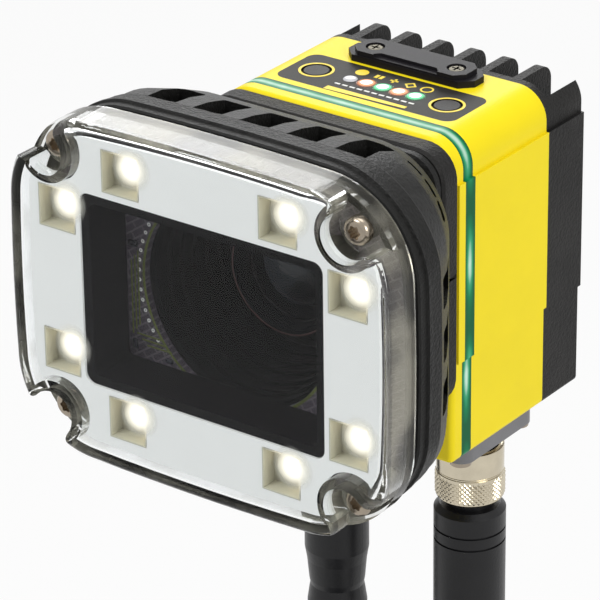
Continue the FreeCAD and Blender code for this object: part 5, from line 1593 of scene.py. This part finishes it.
@dataclass
class FrontPlate:
    """Cast plate between the camera and its light, the seam before it and the adapter's rim."""

    half_width: float = 30.5
    half_height: float = 29.5
    corner: float = 7.0

    def build(self) -> None:
        """Make the three pieces."""
        plate = self.inset((48.05, 0.0, 0.0), (52.2, 0.0, 0.0), (52.9, 0.5, -0.5), (53.1, 1.2, -1.2))
        hand_over(smooth(bored(plate, 17.0, 46.5, 55.5)), "cast_front_plate", "black_cast",
                  replaces=("front_plate",))
        seam = self.inset((53.1, 0.9, 0.0), (53.5, 0.9, 0.0))
        hand_over(smooth(bored(seam, 17.0, 49.5, 58.5)), "plate_seam", "black_rubber")
        rim = self.inset((53.5, 0.3, 0.0), (55.0, 0.3, 0.0), (56.2, 1.5, 3.0), (60.4, 2.0, 10.0))
        hand_over(smooth(bored(rim, 20.5, 52.0, 62.0)), "light_adapter_rim", "black_plastic",
                  replaces=("light_adapter",))

    def inset(self, *steps: tuple[float, float, float]) -> Piece:
        """Draw a piece inside the plate's outline.

        Args:
            steps: depth, how far in from the plate's sides, and what the corner gains.

        Returns:
            The new object.
        """
        return lofted([Outline(depth, self.half_width - inwards, self.half_height - inwards,
                               self.corner + gain) for depth, inwards, gain in steps])


@dataclass
class CouplingNuts:
    """The knurled coupling nuts, one modelled standing on its foot and copied."""

    spacing: float = 18.0
    depth: float = -24.0
    top: float = -44.55
    around: int = 44
    rows: int = 5
    band_radius: float = 7.48
    band_height: float = 5.5
    band_depth: float = 0.3
    profile: tuple[tuple[float, float], ...] = (
        (7.05, 0.0), (7.4, 0.15), (7.45, 0.4), (7.45, 5.9), (7.3, 6.15), (7.3, 6.4), (7.5, 6.5),
        (7.5, 12.3), (7.1, 12.8), (4.5, 12.8), (4.5, 11.0), (6.15, 11.0), (6.15, 0.3), (6.45, 0.0),
        (7.05, 0.0))

    def build(self) -> None:
        """Make the nut, turned body and knurl, and set a copy on each plug."""
        body = turned(self.profile, (0.0, self.depth, self.top), Facing.DOWN, sides=72, closed=True)
        nut = merged([body, stood(self.knurl(), (0.0, self.depth, self.top - 12.2))])
        both = copies(nut, [(self.spacing, 0.0, 0.0), (-self.spacing, 0.0, 0.0)])
        for piece, name in zip(both, ("power_nut", "network_nut")):
            hand_over(piece, name + "_knurled", "nickel", name, (name,))

    def knurl(self) -> Piece:
        """Band of small four-sided points that stand on their corners.

        Returns:
            The band, standing on the origin.
        """
        height, near = self.band_height * MM, 0.01 * MM
        deselect()
        bpy.ops.mesh.primitive_cylinder_add(vertices=self.around, radius=self.band_radius * MM, depth=height,
                                            end_fill_type="NOTHING", location=(0.0, 0.0, height / 2))
        band = settle(bpy.context.object)

        def ends(line: bpy.types.MeshEdge) -> list[float]:
            """Heights of an edge's two ends."""
            return [band.data.vertices[index].co.z for index in line.vertices]

        pick(band, lambda line: max(ends(line)) - min(ends(line)) > height / 2, Part.EDGE)
        bpy.ops.mesh.subdivide(number_cuts=self.rows - 1)
        leave_edit()
        corners_first = len(band.data.vertices)
        pick(band)
        bpy.ops.mesh.poke()
        leave_edit()
        pick(band, lambda line: max(line.vertices) < corners_first
             and not (max(ends(line)) < near or min(ends(line)) > height - near), Part.EDGE)
        bpy.ops.mesh.dissolve_edges(use_verts=False)
        leave_edit()
        pick(band, lambda face: len(face.vertices) == 4)
        bpy.ops.mesh.poke(offset=self.band_depth * MM)
        leave_edit()
        return smooth(band, 15.0)


@dataclass
class VisionCamera:
    """The whole camera."""

    studio: Studio = field(default_factory=Studio)
    cabling: Cabling = field(default_factory=Cabling)
    cad_finishes: CadFinishes = field(default_factory=CadFinishes)
    control_panel: ControlPanel = field(default_factory=ControlPanel)
    card_cover: CardCover = field(default_factory=CardCover)
    ring_light: RingLight = field(default_factory=RingLight)
    light_housing: LightHousing = field(default_factory=LightHousing)
    front_plate: FrontPlate = field(default_factory=FrontPlate)
    coupling_nuts: CouplingNuts = field(default_factory=CouplingNuts)

    def build(self, frame: dict) -> None:
        """Build every sub-assembly in order.
        """
        Finishes.build()
        self.studio.build()
        self.cabling.build(frame["nodes"])
        self.cad_finishes.build(frame["nodes"])
        for part in (self.control_panel, self.card_cover, self.ring_light, self.light_housing,
                     self.front_plate, self.coupling_nuts):
            part.build()


def main() -> None:
    """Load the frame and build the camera."""
    logging.basicConfig(level=logging.INFO, format="%(name)s: %(message)s")
    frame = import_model()
    VisionCamera().build(frame)
    deselect()


if __name__ == "__main__":
    main()
